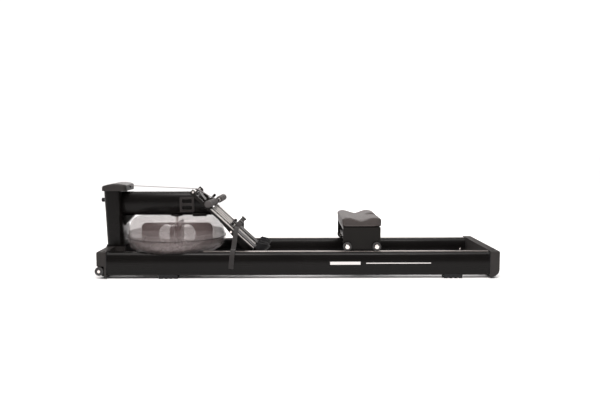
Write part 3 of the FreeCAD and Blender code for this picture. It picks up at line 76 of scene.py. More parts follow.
class Signal:
    """One output socket. Plain arithmetic on it adds Math nodes."""

    def __init__(self, finish, socket):
        self.finish = finish
        self.socket = socket

    def math(self, operation, *others):
        node = self.finish.node("ShaderNodeMath", {"operation": operation},
                                {i: value for i, value in enumerate((self,) + others)})
        return Signal(self.finish, node.outputs[0])

    def __add__(self, other):
        return self.math("ADD", other)

    def __sub__(self, other):
        return self.math("SUBTRACT", other)

    def __mul__(self, other):
        return self.math("MULTIPLY", other)

    def __truediv__(self, other):
        return self.math("DIVIDE", other)

    def __rsub__(self, other):
        node = self.finish.node("ShaderNodeMath", {"operation": "SUBTRACT"}, {0: other, 1: self})
        return Signal(self.finish, node.outputs[0])

    __radd__ = __add__
    __rmul__ = __mul__


class Finish:
    """A procedural material on Object coordinates, with one Principled shader."""

    def __init__(self, name, **constants):
        self.material = bpy.data.materials.new(name)
        self.material.use_nodes = True
        self.tree = self.material.node_tree
        self.shader = self.tree.nodes["Principled BSDF"]
        self.place = self.tree.nodes.new("ShaderNodeTexCoord").outputs["Object"]
        for label, value in constants.items():
            self.shader.inputs[label.replace("_", " ")].default_value = value

    def node(self, kind, settings=None, inputs=None):
        made = self.tree.nodes.new(kind)
        for key, value in (settings or {}).items():
            setattr(made, key, value)
        for key, value in (inputs or {}).items():
            if isinstance(value, Signal):
                self.tree.links.new(value.socket, made.inputs[key])
            elif isinstance(value, bpy.types.NodeSocket):
                self.tree.links.new(value, made.inputs[key])
            else:
                made.inputs[key].default_value = value
        return made

    def stretched(self, scale):
        return self.node("ShaderNodeMapping", {}, {"Vector": self.place, "Scale": scale}).outputs[0]

    def noise(self, scale, detail=3.0, roughness=0.5, stretch=(1, 1, 1)):
        node = self.node("ShaderNodeTexNoise", {}, {"Vector": self.stretched(stretch), "Scale": scale,
                                                    "Detail": detail, "Roughness": roughness})
        return Signal(self, node.outputs[0])

    def cells(self, scale, feature="F1"):
        node = self.node("ShaderNodeTexVoronoi", {"feature": feature}, {"Vector": self.place, "Scale": scale})
        return Signal(self, node.outputs["Distance"])

    def stripes(self, direction, per_metre):
        wave = self.node("ShaderNodeTexWave", {"wave_type": "BANDS", "bands_direction": direction},
                         {"Vector": self.place, "Scale": per_metre * math.pi / 10, "Distortion": 0.0})
        return Signal(self, wave.outputs["Fac"])

    def colour(self, dark, light, amount):
        mix = self.node("ShaderNodeMix", {"data_type": "RGBA"}, {"Factor": amount})
        mix.inputs["A"].default_value = (*dark, 1)
        mix.inputs["B"].default_value = (*light, 1)
        self.tree.links.new(mix.outputs["Result"], self.shader.inputs["Base Color"])
        return self

    def drive(self, label, signal):
        self.tree.links.new(signal.socket, self.shader.inputs[label])
        return self

    def bump(self, height, strength, distance=0.001):
        node = self.node("ShaderNodeBump", {}, {"Strength": strength, "Distance": distance, "Height": height})
        self.tree.links.new(node.outputs[0], self.shader.inputs["Normal"])
        return self


def shade(colour, factor):
    return tuple(min(channel * factor, 1.0) for channel in colour)


def anodised_black():
    """Satin black extrusion with a faint drawn grain along the bar."""
    finish = Finish("anodised_black", Specular_IOR_Level=0.14)
    grain = finish.noise(260, 2, stretch=(0.03, 1, 1))
    cloud = finish.noise(5, 4)
    finish.colour((0.0024, 0.0021, 0.0020), (0.0046, 0.0040, 0.0037), cloud)
    finish.drive("Roughness", 0.20 + 0.07 * grain + 0.05 * cloud)
    return finish.bump(grain, 0.05, 0.0002)


def cast_black():
    """Fine textured powder coat on the castings."""
    finish = Finish("cast_black", Specular_IOR_Level=0.2)
    pebble = finish.noise(900, 3)
    cloud = finish.noise(9, 3)
    finish.colour((0.017, 0.0150, 0.0143), (0.026, 0.0232, 0.0222), cloud)
    finish.drive("Roughness", 0.40 + 0.12 * pebble)
    return finish.bump(pebble, 0.28, 0.0004)


def steel_black():
    """Black painted sheet and tube, slightly orange-peeled."""
    finish = Finish("steel_black", Specular_IOR_Level=0.14)
    peel = finish.noise(420, 2)
    cloud = finish.noise(8, 3)
    finish.colour((0.0038, 0.0033, 0.0028), (0.0075, 0.0066, 0.0057), cloud)
    finish.drive("Roughness", 0.33 + 0.10 * cloud)
    return finish.bump(peel, 0.12, 0.0003)


def track_bright():
    """Bare rolled strip, polished where the wheels run."""
    finish = Finish("track_bright", Metallic=1.0)
    line = finish.noise(500, 2, stretch=(0.02, 1, 1))
    worn = finish.noise(14, 3)
    finish.colour((0.16, 0.14, 0.13), (0.30, 0.27, 0.255), worn)
    finish.drive("Roughness", 0.28 + 0.16 * line)
    return finish.bump(line, 0.08, 0.0002)


def deck_silver():
    """Ribbed extruded strips of the footboard."""
    finish = Finish("deck_silver", Metallic=0.85)
    line = finish.noise(700, 2, stretch=(0.05, 1, 0.05))
    worn = finish.noise(22, 4)
    finish.colour((0.30, 0.285, 0.27), (0.52, 0.50, 0.48), worn)
    finish.drive("Roughness", 0.34 + 0.16 * line)
    return finish.bump(line, 0.1, 0.0002)


def moulded_black():
    """Moulded plastic with a spark-eroded grain."""
    finish = Finish("moulded_black", Specular_IOR_Level=0.28)
    pebble = finish.cells(1500)
    cloud = finish.noise(12, 3)
    finish.colour((0.0055, 0.0050, 0.0050), (0.0105, 0.0095, 0.0095), cloud)
    finish.drive("Roughness", 0.44 + 0.14 * pebble)
    return finish.bump(pebble, 0.25, 0.0003)


def rubber_black():
    finish = Finish("rubber_black", Specular_IOR_Level=0.24)
    dust = finish.noise(30, 5, 0.65)
    pore = finish.noise(1300, 2)
    finish.colour((0.006, 0.0062, 0.0068), (0.015, 0.0150, 0.0160), dust)
    finish.drive("Roughness", 0.58 + 0.22 * dust)
    return finish.bump(pore, 0.3, 0.0003)


def tank_clear():
    """Blow-moulded clear shell with a faint warm tint and flow ripples."""
    finish = Finish("tank_clear", IOR=1.47, Specular_IOR_Level=0.5, Alpha=0.26)
    ripple = finish.noise(9, 2)
    haze = finish.noise(34, 4)
    finish.colour((0.120, 0.088, 0.086), (0.150, 0.112, 0.109), ripple)
    finish.drive("Roughness", 0.06 + 0.06 * haze)
    return finish.bump(ripple, 0.1, 0.001)


def water_clear():
    finish = Finish("water_clear", IOR=1.33, Roughness=0.08, Alpha=0.4)
    ripple = finish.noise(16, 3)
    finish.colour((0.50, 0.46, 0.46), (0.58, 0.54, 0.54), ripple)
    return finish.bump(ripple, 0.12, 0.002)


def paddle_grey():
    finish = Finish("paddle_grey", Specular_IOR_Level=0.5)
    flow = finish.noise(28, 3, stretch=(1, 1, 0.3))
    finish.colour((0.030, 0.027, 0.028), (0.048, 0.044, 0.045), flow)
    finish.drive("Roughness", 0.32 + 0.12 * flow)
    return finish.bump(flow, 0.08, 0.0005)


def polished_steel():
    finish = Finish("polished_steel", Metallic=1.0)
    turned = finish.noise(900, 2, stretch=(1, 0.1, 1))
    cloud = finish.noise(60, 3)
    finish.colour((0.66, 0.61, 0.58), (0.82, 0.77, 0.74), cloud)
    finish.drive("Roughness", 0.16 + 0.12 * turned)
    return finish.bump(turned, 0.08, 0.0001)


def webbing(name, dark, light):
    """Woven band: ribs across it and yarns along it."""
    finish = Finish(name, Specular_IOR_Level=0.25, Sheen_Weight=0.25, Sheen_Roughness=0.5)
    weave = finish.stripes("DIAGONAL", 700) * 0.6 + finish.stripes("Y", 900) * 0.4
    fluff = finish.noise(380, 3)
    finish.colour(dark, light, weave * 0.7 + fluff * 0.3)
    finish.drive("Roughness", 0.66 + 0.2 * fluff)
    return finish.bump(weave, 0.5, 0.0004)


def webbing_grey():
    return webbing("webbing_grey", (0.11, 0.098, 0.100), (0.20, 0.180, 0.183))


def webbing_black():
    return webbing("webbing_black", (0.008, 0.007, 0.007), (0.022, 0.0195, 0.019))


def grip_foam():
    """Closed-cell foam tube, a little shiny where hands hold it."""
    finish = Finish("grip_foam", Specular_IOR_Level=0.35)
    pore = finish.cells(900)
    worn = finish.noise(18, 4)
    finish.colour((0.030, 0.027, 0.0265), (0.052, 0.047, 0.046), worn)
    finish.drive("Roughness", 0.55 + 0.2 * pore)
    return finish.bump(pore, 0.4, 0.0005)


def seat_skin():
    """Soft matte skin with a fine leather grain."""
    finish = Finish("seat_skin", Specular_IOR_Level=0.22, Sheen_Weight=0.05, Sheen_Roughness=0.45)
    grain = finish.cells(620)
    pore = finish.noise(1500, 2)
    worn = finish.noise(14, 4)
    finish.colour((0.032, 0.0265, 0.0250), (0.052, 0.0440, 0.0415), worn)
    finish.drive("Roughness", 0.47 + 0.15 * worn)
    return finish.bump(grain * 0.7 + pore * 0.3, 0.45, 0.0006)


def wheel_urethane():
    finish = Finish("wheel_urethane", Specular_IOR_Level=0.45)
    scuff = finish.noise(70, 5, 0.6)
    finish.colour((0.011, 0.0105, 0.0105), (0.030, 0.028, 0.028), scuff)
    finish.drive("Roughness", 0.34 + 0.25 * scuff)
    return finish.bump(scuff, 0.1, 0.0004)


def stripe_paint():
    """Flat pale print of the rails' plain stripes."""
    finish = Finish("stripe_paint", Specular_IOR_Level=0.3)
    speck = finish.noise(500, 3)
    finish.colour((0.55, 0.53, 0.52), (0.68, 0.66, 0.65), speck)
    finish.drive("Roughness", 0.45 + 0.1 * speck)
    return finish.bump(speck, 0.05, 0.0001)


RECIPES = {
    "black_extrusion": anodised_black, "black_casting": cast_black, "black_steel": steel_black,
    "track_metal": track_bright, "silver_deck": deck_silver, "black_plastic": moulded_black,
    "black_rubber": rubber_black, "clear_tank": tank_clear, "tank_water": water_clear,
    "paddle_grey": paddle_grey, "bright_steel": polished_steel, "grey_webbing": webbing_grey,
    "black_webbing": webbing_black, "grip_foam": grip_foam, "seat_skin": seat_skin,
    "wheel_urethane": wheel_urethane, "stripe_paint": stripe_paint,
}
FINISHES = {}


def finish_of(slot):
    if slot not in FINISHES:
        FINISHES[slot] = RECIPES[slot]().material
    return FINISHES[slot]


# ---- Mesh helpers ----

def centre_of(node):
    low, high = (Vector(corner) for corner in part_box(node))
    return (low + high) / 2


def finished(bm, name, slot, body, replaces=(), look=None, crease=35.0):
    """Makes the bmesh an object at the origin, smooth between its creases, riding on a body."""
    mesh = bpy.data.meshes.new(name)
    for face in bm.faces:
        face.smooth = True
    for edge in bm.edges:
        if len(edge.link_faces) == 2 and edge.calc_face_angle(0.0) > math.radians(crease):
            edge.smooth = False
    bm.to_mesh(mesh)
    bm.free()
    piece = bpy.data.objects.new(name, mesh)
    bpy.context.scene.collection.objects.link(piece)
    mesh.materials.append(finish_of(look or slot))
    if body:
        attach(piece, body)
    if replaces:
        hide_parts(*replaces)
    return piece


def refined(node, bevel=0.0008, segments=2, look=None):
    """A CAD node's own shape, with its points merged, its flat faces whole and its edges eased."""
    bm = bmesh.new()
    bm.from_mesh(frame["nodes"][node].data)
    bmesh.ops.remove_doubles(bm, verts=bm.verts, dist=1e-6)
    bmesh.ops.dissolve_limit(bm, angle_limit=math.radians(0.4), verts=bm.verts, edges=bm.edges)
    piece = finished(bm, node + "_finish", SLOT_OF_NODE[node], BODY_OF_NODE[node], (node,), look)
    if bevel:
        ease = piece.modifiers.new("eased_edges", "BEVEL")
        ease.width = bevel
        ease.segments = segments
        ease.limit_method = "ANGLE"
        ease.angle_limit = math.radians(40)
        ease.harden_normals = True
    return piece


def lathe(profile, centre, steps=128):
    """A full spin of (radius, height) points about the vertical axis through centre."""
    bm = bmesh.new()
    verts = [bm.verts.new(centre + Vector((radius, 0, height))) for radius, height in profile]
    edges = [bm.edges.new(pair) for pair in zip(verts, verts[1:])]
    bmesh.ops.spin(bm, geom=verts + edges, cent=centre, axis=UP, angle=2 * math.pi, steps=steps,
                   use_merge=True, use_duplicate=False)
    bmesh.ops.remove_doubles(bm, verts=bm.verts, dist=1e-6)
    bmesh.ops.recalc_face_normals(bm, faces=bm.faces)
    return bm


def turned(profile, start, direction, steps=64):
    """A lathe whose axis runs from start along a direction."""
    bm = lathe(profile, Vector((0, 0, 0)), steps)
    turn = UP.rotation_difference(direction.normalized()).to_matrix().to_4x4()
    bmesh.ops.transform(bm, matrix=Matrix.Translation(start) @ turn, verts=bm.verts)
    return bm


def arc(centre, radius, start, end, steps):
    """Points of a round stretch of a profile, between two angles in degrees."""
    turns = [math.radians(start + (end - start) * i / steps) for i in range(steps + 1)]
    return [(centre[0] + radius * math.cos(t), centre[1] + radius * math.sin(t)) for t in turns]


def smooth_path(points, steps=10):
    """Points of a Catmull-Rom curve through the given ones."""
    padded = [2 * points[0] - points[1]] + list(points) + [2 * points[-1] - points[-2]]
    path = []
    for a, b, c, d in zip(padded, padded[1:], padded[2:], padded[3:]):
        for i in range(steps):
            t = i / steps
            path.append(0.5 * (2 * b + (c - a) * t + (2 * a - 5 * b + 4 * c - d) * t * t
                               + (3 * b - a - 3 * c + d) * t ** 3))
    return path + [points[-1]]


def strap(path, across, thickness, name, slot, body, replaces=()):
    """Flat webbing that is extruded along a path, with its edges rounded."""
    bm = bmesh.new()
    edge = bm.edges.new([bm.verts.new(path[0] - across / 2), bm.verts.new(path[0] + across / 2)])
    for here, there in zip(path, path[1:]):
        made = bmesh.ops.extrude_edge_only(bm, edges=[edge])["geom"]
        verts = [item for item in made if isinstance(item, bmesh.types.BMVert)]
        edge = next(item for item in made if isinstance(item, bmesh.types.BMEdge))
        bmesh.ops.translate(bm, vec=there - here, verts=verts)
    piece = finished(bm, name, slot, body, replaces, crease=180)
    skin = piece.modifiers.new("thickness", "SOLIDIFY")
    skin.thickness = thickness
    skin.offset = 0
    rim = piece.modifiers.new("rounded_rim", "BEVEL")
    rim.width = thickness * 0.3
    rim.segments = 2
    rim.limit_method = "ANGLE"
    rim.angle_limit = math.radians(60)
    return piece


# ---- Sizes that a user may change ----

class RowerSizes(bpy.types.PropertyGroup):
    """Sizes of the pieces that are modelled here."""
    tank_wall: FloatProperty(name="Tank wall", description="Thickness of the clear shells", default=0.004,
                             unit="LENGTH")
    water_level: FloatProperty(name="Water level", description="Height of the water's surface", default=0.221,
                               unit="LENGTH")
    swell: FloatProperty(name="Cushion swell", description="How far the seat's skin may swell", default=0.003,
                         unit="LENGTH")
    grip_ribs: IntProperty(name="Grip ribs", description="Rings pressed into each grip", default=9)
    stripe_height: FloatProperty(name="Stripe height", description="Height of the rail's wide stripe",
                                 default=0.016, unit="LENGTH")


class RowerColours(bpy.types.PropertyGroup):
    """Colours of the studio."""
    floor: FloatVectorProperty(name="Floor", description="Colour of the studio floor", subtype="COLOR",
                               default=(0.93, 0.93, 0.93))
    sky: FloatVectorProperty(name="Backdrop", description="Colour behind the machine", subtype="COLOR",
                             default=(1.0, 1.0, 1.0))


def sizes():
    return bpy.context.scene.rower_sizes


def colours():
    return bpy.context.scene.rower_colours


# ---- Operators ----

class MakeStage(bpy.types.Operator):
    """Makes the floor, the lights and the camera"""
    bl_idname = "rower.stage"
    bl_label = "Stage"

    SENSOR = 36.0
    LENS = 37.56
    EYE = (0.0229, -3.5288, 0.6993)
    EYE_TURN = (math.radians(90 - 4.95), math.radians(0.10), math.radians(-0.177))
    SKY_LIGHT = 0.16
    SKY_SEEN = 1.1
    SUN_POWER = 3.3
    SUN_SPREAD = math.radians(75)
    SUN_TILT = math.radians(12)
    # Name, place, target, size and power of each area lamp
    LAMPS = (("tank_side", (-0.75, -2.0, 2.1), (-0.7, 0, 0.2), (0.9, 0.5), 30),
             ("seat_side", (0.75, -2.0, 2.1), (0.7, 0, 0.1), (1.3, 0.5), 30),
             ("behind", (-0.2, 3.4, 1.8), (-0.2, 0, 0.2), (4.0, 1.6), 70))

    def execute(self, context):
        self.floor()
        self.lights()
        self.camera(context.scene)
        context.scene.view_settings.view_transform = "Standard"
        return {"FINISHED"}

    def floor(self):
        bm = bmesh.new()
        bmesh.ops.create_grid(bm, x_segments=1, y_segments=1, size=40)
        mesh = bpy.data.meshes.new("studio_floor")
        bm.to_mesh(mesh)
        bm.free()
        plane = bpy.data.objects.new("studio_floor", mesh)
        bpy.context.scene.collection.objects.link(plane)
        finish = Finish("studio_floor", Roughness=0.9, Specular_IOR_Level=0.1)
        pale = tuple(colours().floor)
        finish.colour(shade(pale, 0.99), pale, finish.noise(0.6, 2))
        mesh.materials.append(finish.material)

    def lights(self):
        world = bpy.data.worlds.new("studio")
        world.use_nodes = True
        nodes, links = world.node_tree.nodes, world.node_tree.links
        sky = nodes["Background"]
        sky.inputs["Color"].default_value = (*colours().sky, 1)
        path = nodes.new("ShaderNodeLightPath")
        level = nodes.new("ShaderNodeMapRange")
        level.inputs["To Min"].default_value = self.SKY_LIGHT
        level.inputs["To Max"].default_value = self.SKY_SEEN
        links.new(path.outputs["Is Camera Ray"], level.inputs["Value"])
        links.new(level.outputs[0], sky.inputs["Strength"])
        bpy.context.scene.world = world
        sun = bpy.data.lights.new("daylight", "SUN")
        sun.energy = self.SUN_POWER
        sun.angle = self.SUN_SPREAD
        sun.color = (1.0, 0.97, 0.96)
        lamp = bpy.data.objects.new("daylight", sun)
        lamp.location = (0, 0, 3)
        lamp.rotation_euler = (self.SUN_TILT, 0, 0)
        bpy.context.scene.collection.objects.link(lamp)
        for name, place, target, size, power in self.LAMPS:
            self.lamp(name, place, target, size, power)

    def lamp(self, name, place, target, size, power):
        light = bpy.data.lights.new(name, "AREA")
        light.shape = "RECTANGLE"
        light.size, light.size_y = size
        light.energy = power
        light.color = (1.0, 0.955, 0.94)
        lamp = bpy.data.objects.new(name, light)
        lamp.location = place
        lamp.rotation_euler = (Vector(target) - Vector(place)).to_track_quat("-Z", "Y").to_euler()
        bpy.context.scene.collection.objects.link(lamp)

    def camera(self, scene):
        data = bpy.data.cameras.new("camera")
        data.sensor_width = self.SENSOR
        data.lens = self.LENS
        eye = bpy.data.objects.new("camera", data)
        eye.location = self.EYE
        eye.rotation_euler = self.EYE_TURN
        scene.collection.objects.link(eye)
        scene.camera = eye


class MakeFrame(bpy.types.Operator):
    """Finishes the rails, castings, post and boom"""
    bl_idname = "rower.frame"
    bl_label = "Main frame"

    # Each node's bevel, in metres
    NODES = {"rail_left": 0.0006, "rail_right": 0.0006, "track_strips": 0.0005,
             "rail_end_gaskets": 0.0004, "rear_crossmember": 0.0015, "front_crossmember": 0.0015,
             "front_post": 0.0008, "post_cap": 0.0012, "post_bumper": 0.0005, "boom": 0.0008,
             "boom_end_plate": 0.0005, "tank_hold_down": 0.001, "tank_support_beams": 0.001,
             "tank_pads": 0.001, "rubber_feet": 0.0012, "frame_bolts": 0.0004}
    # Nodes that take another finish than their own slot's
    LOOKS = {"boom_cover": (0.0008, "black_casting"), "tank_saddles": (0.0006, "black_extrusion")}
    # Start, end and share of the full stripe height
    STRIPES = ((0.19, 0.35, 1.0), (0.38, 0.72, 0.3))
    STRIPE_RISE = 0.006
    STRIPE_DEPTH = 0.0005

    def execute(self, context):
        for node, bevel in self.NODES.items():
            refined(node, bevel)
        for node, (bevel, look) in self.LOOKS.items():
            refined(node, bevel, look=look)
        self.stripes()
        return {"FINISHED"}

    def stripes(self):
        """Two plain level stripes on the outer face of each rail."""
        low, high = (Vector(corner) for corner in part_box("rail_left"))
        height = (low.z + high.z) / 2 + self.STRIPE_RISE
        for side, name in ((-1, "left"), (1, "right")):
            bm = bmesh.new()
            for start, end, share in self.STRIPES:
                width = sizes().stripe_height * share
                cube = bmesh.ops.create_cube(bm, size=1.0)["verts"]
                bmesh.ops.scale(bm, vec=(end - start, self.STRIPE_DEPTH, width), verts=cube)
                bmesh.ops.translate(bm, vec=((start + end) / 2, side * abs(low.y), height), verts=cube)
            finished(bm, "rail_stripes_" + name, "track_metal", "frame", look="stripe_paint")


class MakeTank(bpy.types.Operator):
    """Makes the clear tank, its water, the seam and the paddle"""
    bl_idname = "rower.tank"
    bl_label = "Water tank"

    def execute(self, context):
        low, high = (Vector(corner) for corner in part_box("tank_lower_shell"))
        self.centre = Vector(((low.x + high.x) / 2, 0, 0))
        self.band = (high.x - low.x) / 2
        self.bottom = low.z
        self.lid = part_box("tank_upper_shell")[1][2]
        self.seam = (high.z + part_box("tank_upper_shell")[0][2]) / 2
        self.shells()
        self.water()
        for node in ("tank_fill_plug", "bearing_housing", "paddle_shaft", "shaft_bearing", "tank_gasket",
                     "recoil_spring", "recoil_spring_housing", "drive_spool"):
            refined(node, 0.0005)
        for node in ("paddle_hub", "paddle_blades"):
            refined(node, 0.001, 3)
        return {"FINISHED"}

    def outline(self, inset):
        """The shell's outline from the floor's centre out to the seam, and from the lid's centre."""
        radius = self.band - 0.004 - inset
        floor, lid = self.bottom + inset, self.lid - inset
        lower = smooth_path([Vector((0.228, floor)), Vector((radius - 0.0115, floor + 0.022)),
                             Vector((radius - 0.0025, floor + 0.046)), Vector((radius, floor + 0.066))], 8)
        upper = smooth_path([Vector((radius, self.seam + 0.012)), Vector((radius - 0.005, lid - 0.064)),
                             Vector((radius - 0.019, lid - 0.022)), Vector((radius - 0.036, lid - 0.003)),
                             Vector((radius - 0.048, lid))], 8)
        return [tuple(p) for p in lower], [tuple(p) for p in upper]

    def shells(self):
        wall = sizes().tank_wall
        lower, upper = self.outline(0.0)
        lower_in, upper_in = self.outline(wall)
        gap = 0.001
        band = self.band
        cup = [(0.0, self.bottom + 0.009), (0.0075, self.bottom + 0.009), (0.0075, self.bottom + 0.015),
               (0.022, self.bottom + 0.015), (0.022, self.bottom + wall)]
        rim_low = [(band, self.seam - 0.0135), (band, self.seam - gap), (band - 0.008, self.seam - gap)]
        profile = [(0.0, self.bottom)] + lower + rim_low + lower_in[::-1] + cup[::-1]
        finished(lathe(profile, self.centre), "tank_bowl", "clear_tank", "frame", ("tank_lower_shell",))
        rim_high = [(band - 0.008, self.seam + gap), (band, self.seam + gap), (band, self.seam + 0.0135)]
        neck = 0.0225
        profile = ([(neck, self.lid - wall)] + upper_in[::-1] + rim_high + upper + [(neck, self.lid)]
                   + [(neck, self.lid - wall)])
        finished(lathe(profile, self.centre), "tank_dome", "clear_tank", "frame", ("tank_upper_shell",))

    def water(self):
        """The water up to its level, drawn up a little where it meets the wall."""
        gap = sizes().tank_wall + 0.0006
        lower, upper = self.outline(gap)
        level = sizes().water_level
        wall = [point for point in lower + upper if point[1] < level]
        edge = wall[-1][0] - 0.0002
        surface = [(edge, level + 0.0015), (edge - 0.002, level + 0.0004), (edge - 0.006, level),
                   (0.0, level)]
        floor = self.bottom + gap
        foot = [(0.0, floor + 0.0115), (0.023, floor + 0.0115), (0.023, floor)]
        bm = lathe(foot + wall + surface, self.centre)
        finished(bm, "tank_water", "tank_water", "paddle", ("water",))


class MakeStraps(bpy.types.Operator):
    """Makes the drive strap, the pull strap and the foot straps"""
    bl_idname = "rower.straps"
    bl_label = "Straps"

    WEB_WIDTH = 0.025
    WEB_THICK = 0.0019
    PULL_THICK = 0.0024
    LOOP_PLACE = 0.303  # down the slope from the roller
    END_RISE = 0.024  # where a loose end leaves its loop, above the deck
    END_LEAN = math.radians(6)
    # Each point of a loop: across the machine, and out from the deck
    LOOP = ((0.035, 0.0025), (0.037, 0.016), (0.043, 0.031), (0.064, 0.0465), (0.087, 0.0492),
            (0.110, 0.0465), (0.131, 0.031), (0.138, 0.016), (0.139, 0.0025))

    def execute(self, context):
        refined("drive_strap", 0.0004)
        for node in ("strap_axles", "strap_roller", "low_strap_pulley", "top_strap_pulley", "strap_buckles"):
            refined(node, 0.0006)
        self.foot_straps()
        low, high = (Vector(corner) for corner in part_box("strap_tail"))
        width = Vector((0, high.y - low.y, 0))
        start, end = Vector((low.x, 0, high.z)), Vector((high.x, 0, low.z))
        inset = (end - start).normalized() * 0.0012
        path = [start.lerp(end, i / 40) + inset * (1 - i / 20) for i in range(41)]
        band = strap(path, width, self.PULL_THICK, "pull_strap", "grey_webbing", None, ("strap_tail",))
        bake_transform(band)
        return {"FINISHED"}

    def foot_straps(self):
        """A loop over each shoe's place, whose loose end hangs over the rail."""
        origin = centre_of("strap_roller")
        down = Vector(JOINTS["heel_slide_left"]["axis"])
        out = Vector(JOINTS["lock_knob_pull_left"]["axis"])
        rail_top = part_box("rail_right")[1][2]
        strap_low, strap_high = (Vector(corner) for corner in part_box("foot_straps"))
        foot = origin + down * self.LOOP_PLACE
        start = foot + out * self.END_RISE
        edge = strap_high.y - 0.001
        over_rail = rail_top - start.z
        heights = [(0.138, 0.0), (0.165, -0.008), (0.198, -0.032), (0.238, over_rail + 0.020),
                   (0.268, over_rail + 0.010), (edge - 0.003, over_rail - 0.008),
                   (edge, over_rail - 0.032), (edge, strap_low.z + 0.001 - start.z)]
        lean = math.tan(self.END_LEAN)
        across = Vector((math.cos(self.END_LEAN), 0, -math.sin(self.END_LEAN))) * self.WEB_WIDTH
        for side, name in ((-1, "left"), (1, "right")):
            loop = [foot + Vector((0, side * y, 0)) + out * n for y, n in self.LOOP]
            strap(smooth_path(loop, 6), down * self.WEB_WIDTH, self.WEB_THICK, "foot_loop_" + name,
                  "black_webbing", "frame", ("foot_straps",) if side < 0 else ())
            tail = [Vector((start.x + rise * lean, side * y, start.z + rise)) for y, rise in heights]
            strap(smooth_path(tail, 6), across, self.WEB_THICK, "strap_end_" + name, "black_webbing",
                  "frame")


class MakeFootboard(bpy.types.Operator):
    """Finishes the sloped footboard, its heels and knobs"""
    bl_idname = "rower.footboard"
    bl_label = "Footboard"

    def execute(self, context):
        for node in ("footboard_sides", "footboard_tubes", "footboard_deck", "deck_strips"):
            refined(node, 0.0006)
        for side in ("left", "right"):
            refined("heel_plate_" + side, 0.0008)
            refined("heel_lock_knob_" + side, 0.0005)
            refined("heel_cup_" + side, 0.0015, 3)
        return {"FINISHED"}


class MakeHandle(bpy.types.Operator):
    """Makes the handle's bar, clip and ribbed grips"""
    bl_idname = "rower.handle"
    bl_label = "Handle"

    def execute(self, context):
        refined("handle_bar", 0.0)
        refined("handle_clip", 0.0008)
        for side, name in ((-1, "left"), (1, "right")):
            self.grip(side, name)
        return {"FINISHED"}

    def grip(self, side, name):
        """A foam tube with shallow rings pressed into it, on one half of the bar."""
        low, high = (Vector(corner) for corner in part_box("handle_grips"))
        mesh = frame["nodes"]["handle_grips"].data
        points = [v.co.copy() for v in mesh.vertices if v.co.y * side > 0]
        inner = [p for p in points if abs(p.y) < min(abs(q.y) for q in points) + 0.012]
        outer = [p for p in points if abs(p.y) > max(abs(q.y) for q in points) - 0.012]
        start = sum(inner, Vector()) / len(inner)
        end = sum(outer, Vector()) / len(outer)
        direction = (end - start).normalized()
        reach = [(p - start).dot(direction) for p in points]
        start, length = start + direction * min(reach), max(reach) - min(reach)
        radius = (high.z - low.z) / 2
        ribs = sizes().grip_ribs
        tube = [(0.0, 0.0), (radius - 0.008, 0.0)] + arc((radius - 0.008, 0.008), 0.008, -90, 0, 6)
        for index in range(ribs):
            middle = 0.02 + (length - 0.04) * (index + 0.5) / ribs
            tube += [(radius, middle - 0.0035), (radius - 0.0007, middle - 0.002), (radius - 0.0011, middle),
                     (radius - 0.0007, middle + 0.002), (radius, middle + 0.0035)]
        tube += arc((radius - 0.008, length - 0.008), 0.008, 0, 90, 6) + [(0.0, length)]
        finished(turned(tube, start, direction), "grip_" + name, "grip_foam", "handle",
                 ("handle_grips",) if side < 0 else (), crease=60)


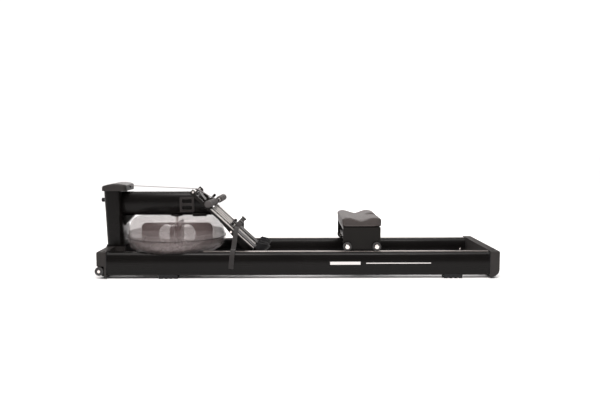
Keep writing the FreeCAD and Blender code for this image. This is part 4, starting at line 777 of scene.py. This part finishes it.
class MakeSeat(bpy.types.Operator):
    """Makes the padded seat by cloth simulation, and finishes its carriage"""
    bl_idname = "rower.seat"
    bl_label = "Seat"

    def execute(self, context):
        self.pad()
        for node in ("seat_base", "carriage_plates", "carriage_cross_tubes", "seat_axle_bolts",
                     "seat_wheels_front", "seat_wheels_rear", "transport_wheels"):
            refined(node, 0.0008)
        return {"FINISHED"}

    def pad(self):
        """The cushion's skin: the pad's own shape, drawn in a little, then puffed out again."""
        bm = bmesh.new()
        bm.from_mesh(frame["nodes"]["seat_pad"].data)
        bmesh.ops.remove_doubles(bm, verts=bm.verts, dist=1e-6)
        bmesh.ops.recalc_face_normals(bm, faces=bm.faces)
        piece = finished(bm, "seat_cushion", "seat_skin", "seat", ("seat_pad",), crease=180)
        remesh = piece.modifiers.new("remesh", "REMESH")
        remesh.mode = "VOXEL"
        remesh.voxel_size = 0.005
        self.apply(piece)
        rounder = piece.modifiers.new("rounder", "SMOOTH")
        rounder.factor = 0.5
        rounder.iterations = 4
        self.apply(piece)
        draw_in = sizes().swell / 2
        for vert in piece.data.vertices:
            vert.co -= vert.normal * draw_in
        self.swell(piece)
        smooth = piece.modifiers.new("smooth", "SUBSURF")
        smooth.levels = 1
        smooth.render_levels = 1

    def swell(self, piece):
        """Pressure puffs the skin out by up to the cushion swell."""
        rest = [vert.co.copy() for vert in piece.data.vertices]
        group = piece.vertex_groups.new(name="seated")
        floor = min(point.z for point in rest)
        group.add([i for i, point in enumerate(rest) if point.z < floor + 0.004], 1.0, "REPLACE")
        cloth = piece.modifiers.new("cloth", "CLOTH")
        cloth.settings.use_pressure = True
        cloth.settings.uniform_pressure_force = 4
        cloth.settings.effector_weights.gravity = 0
        cloth.settings.vertex_group_mass = "seated"
        scene = bpy.context.scene
        for step in range(1, 21):
            scene.frame_set(step)
        shaped = piece.evaluated_get(bpy.context.evaluated_depsgraph_get()).to_mesh()
        moved = [vert.co.copy() for vert in shaped.vertices]
        piece.modifiers.remove(cloth)
        limit = sizes().swell
        for vert, start, end in zip(piece.data.vertices, rest, moved):
            shift = end - start
            if shift.length > limit:
                shift = shift.normalized() * limit
            vert.co = start + shift
        scene.frame_set(1)

    def apply(self, piece):
        evaluated = piece.evaluated_get(bpy.context.evaluated_depsgraph_get())
        mesh = bpy.data.meshes.new_from_object(evaluated)
        piece.modifiers.clear()
        piece.data = mesh
        for polygon in mesh.polygons:
            polygon.use_smooth = True


class RowerPanel(bpy.types.Panel):
    """Lists the machine's pieces in the sidebar"""
    bl_idname = "VIEW3D_PT_rower"
    bl_label = "Rowing machine"
    bl_space_type = "VIEW_3D"
    bl_region_type = "UI"
    bl_category = "Rower"

    def draw(self, context):
        layout = self.layout
        for operator in OPERATORS:
            layout.operator(operator.bl_idname)
        for group in (context.scene.rower_sizes, context.scene.rower_colours):
            for name in group.__annotations__:
                layout.prop(group, name)


OPERATORS = (MakeStage, MakeFrame, MakeTank, MakeStraps, MakeFootboard, MakeHandle, MakeSeat)
CLASSES = (RowerSizes, RowerColours) + OPERATORS + (RowerPanel,)


def register():
    for item in CLASSES:
        bpy.utils.register_class(item)
    bpy.types.Scene.rower_sizes = PointerProperty(type=RowerSizes)
    bpy.types.Scene.rower_colours = PointerProperty(type=RowerColours)


def unregister():
    del bpy.types.Scene.rower_colours
    del bpy.types.Scene.rower_sizes
    for item in reversed(CLASSES):
        bpy.utils.unregister_class(item)


def main():
    register()
    for operator in OPERATORS:
        group, name = operator.bl_idname.split(".")
        getattr(getattr(bpy.ops, group), name)()


if __name__ == "__main__":
    main()
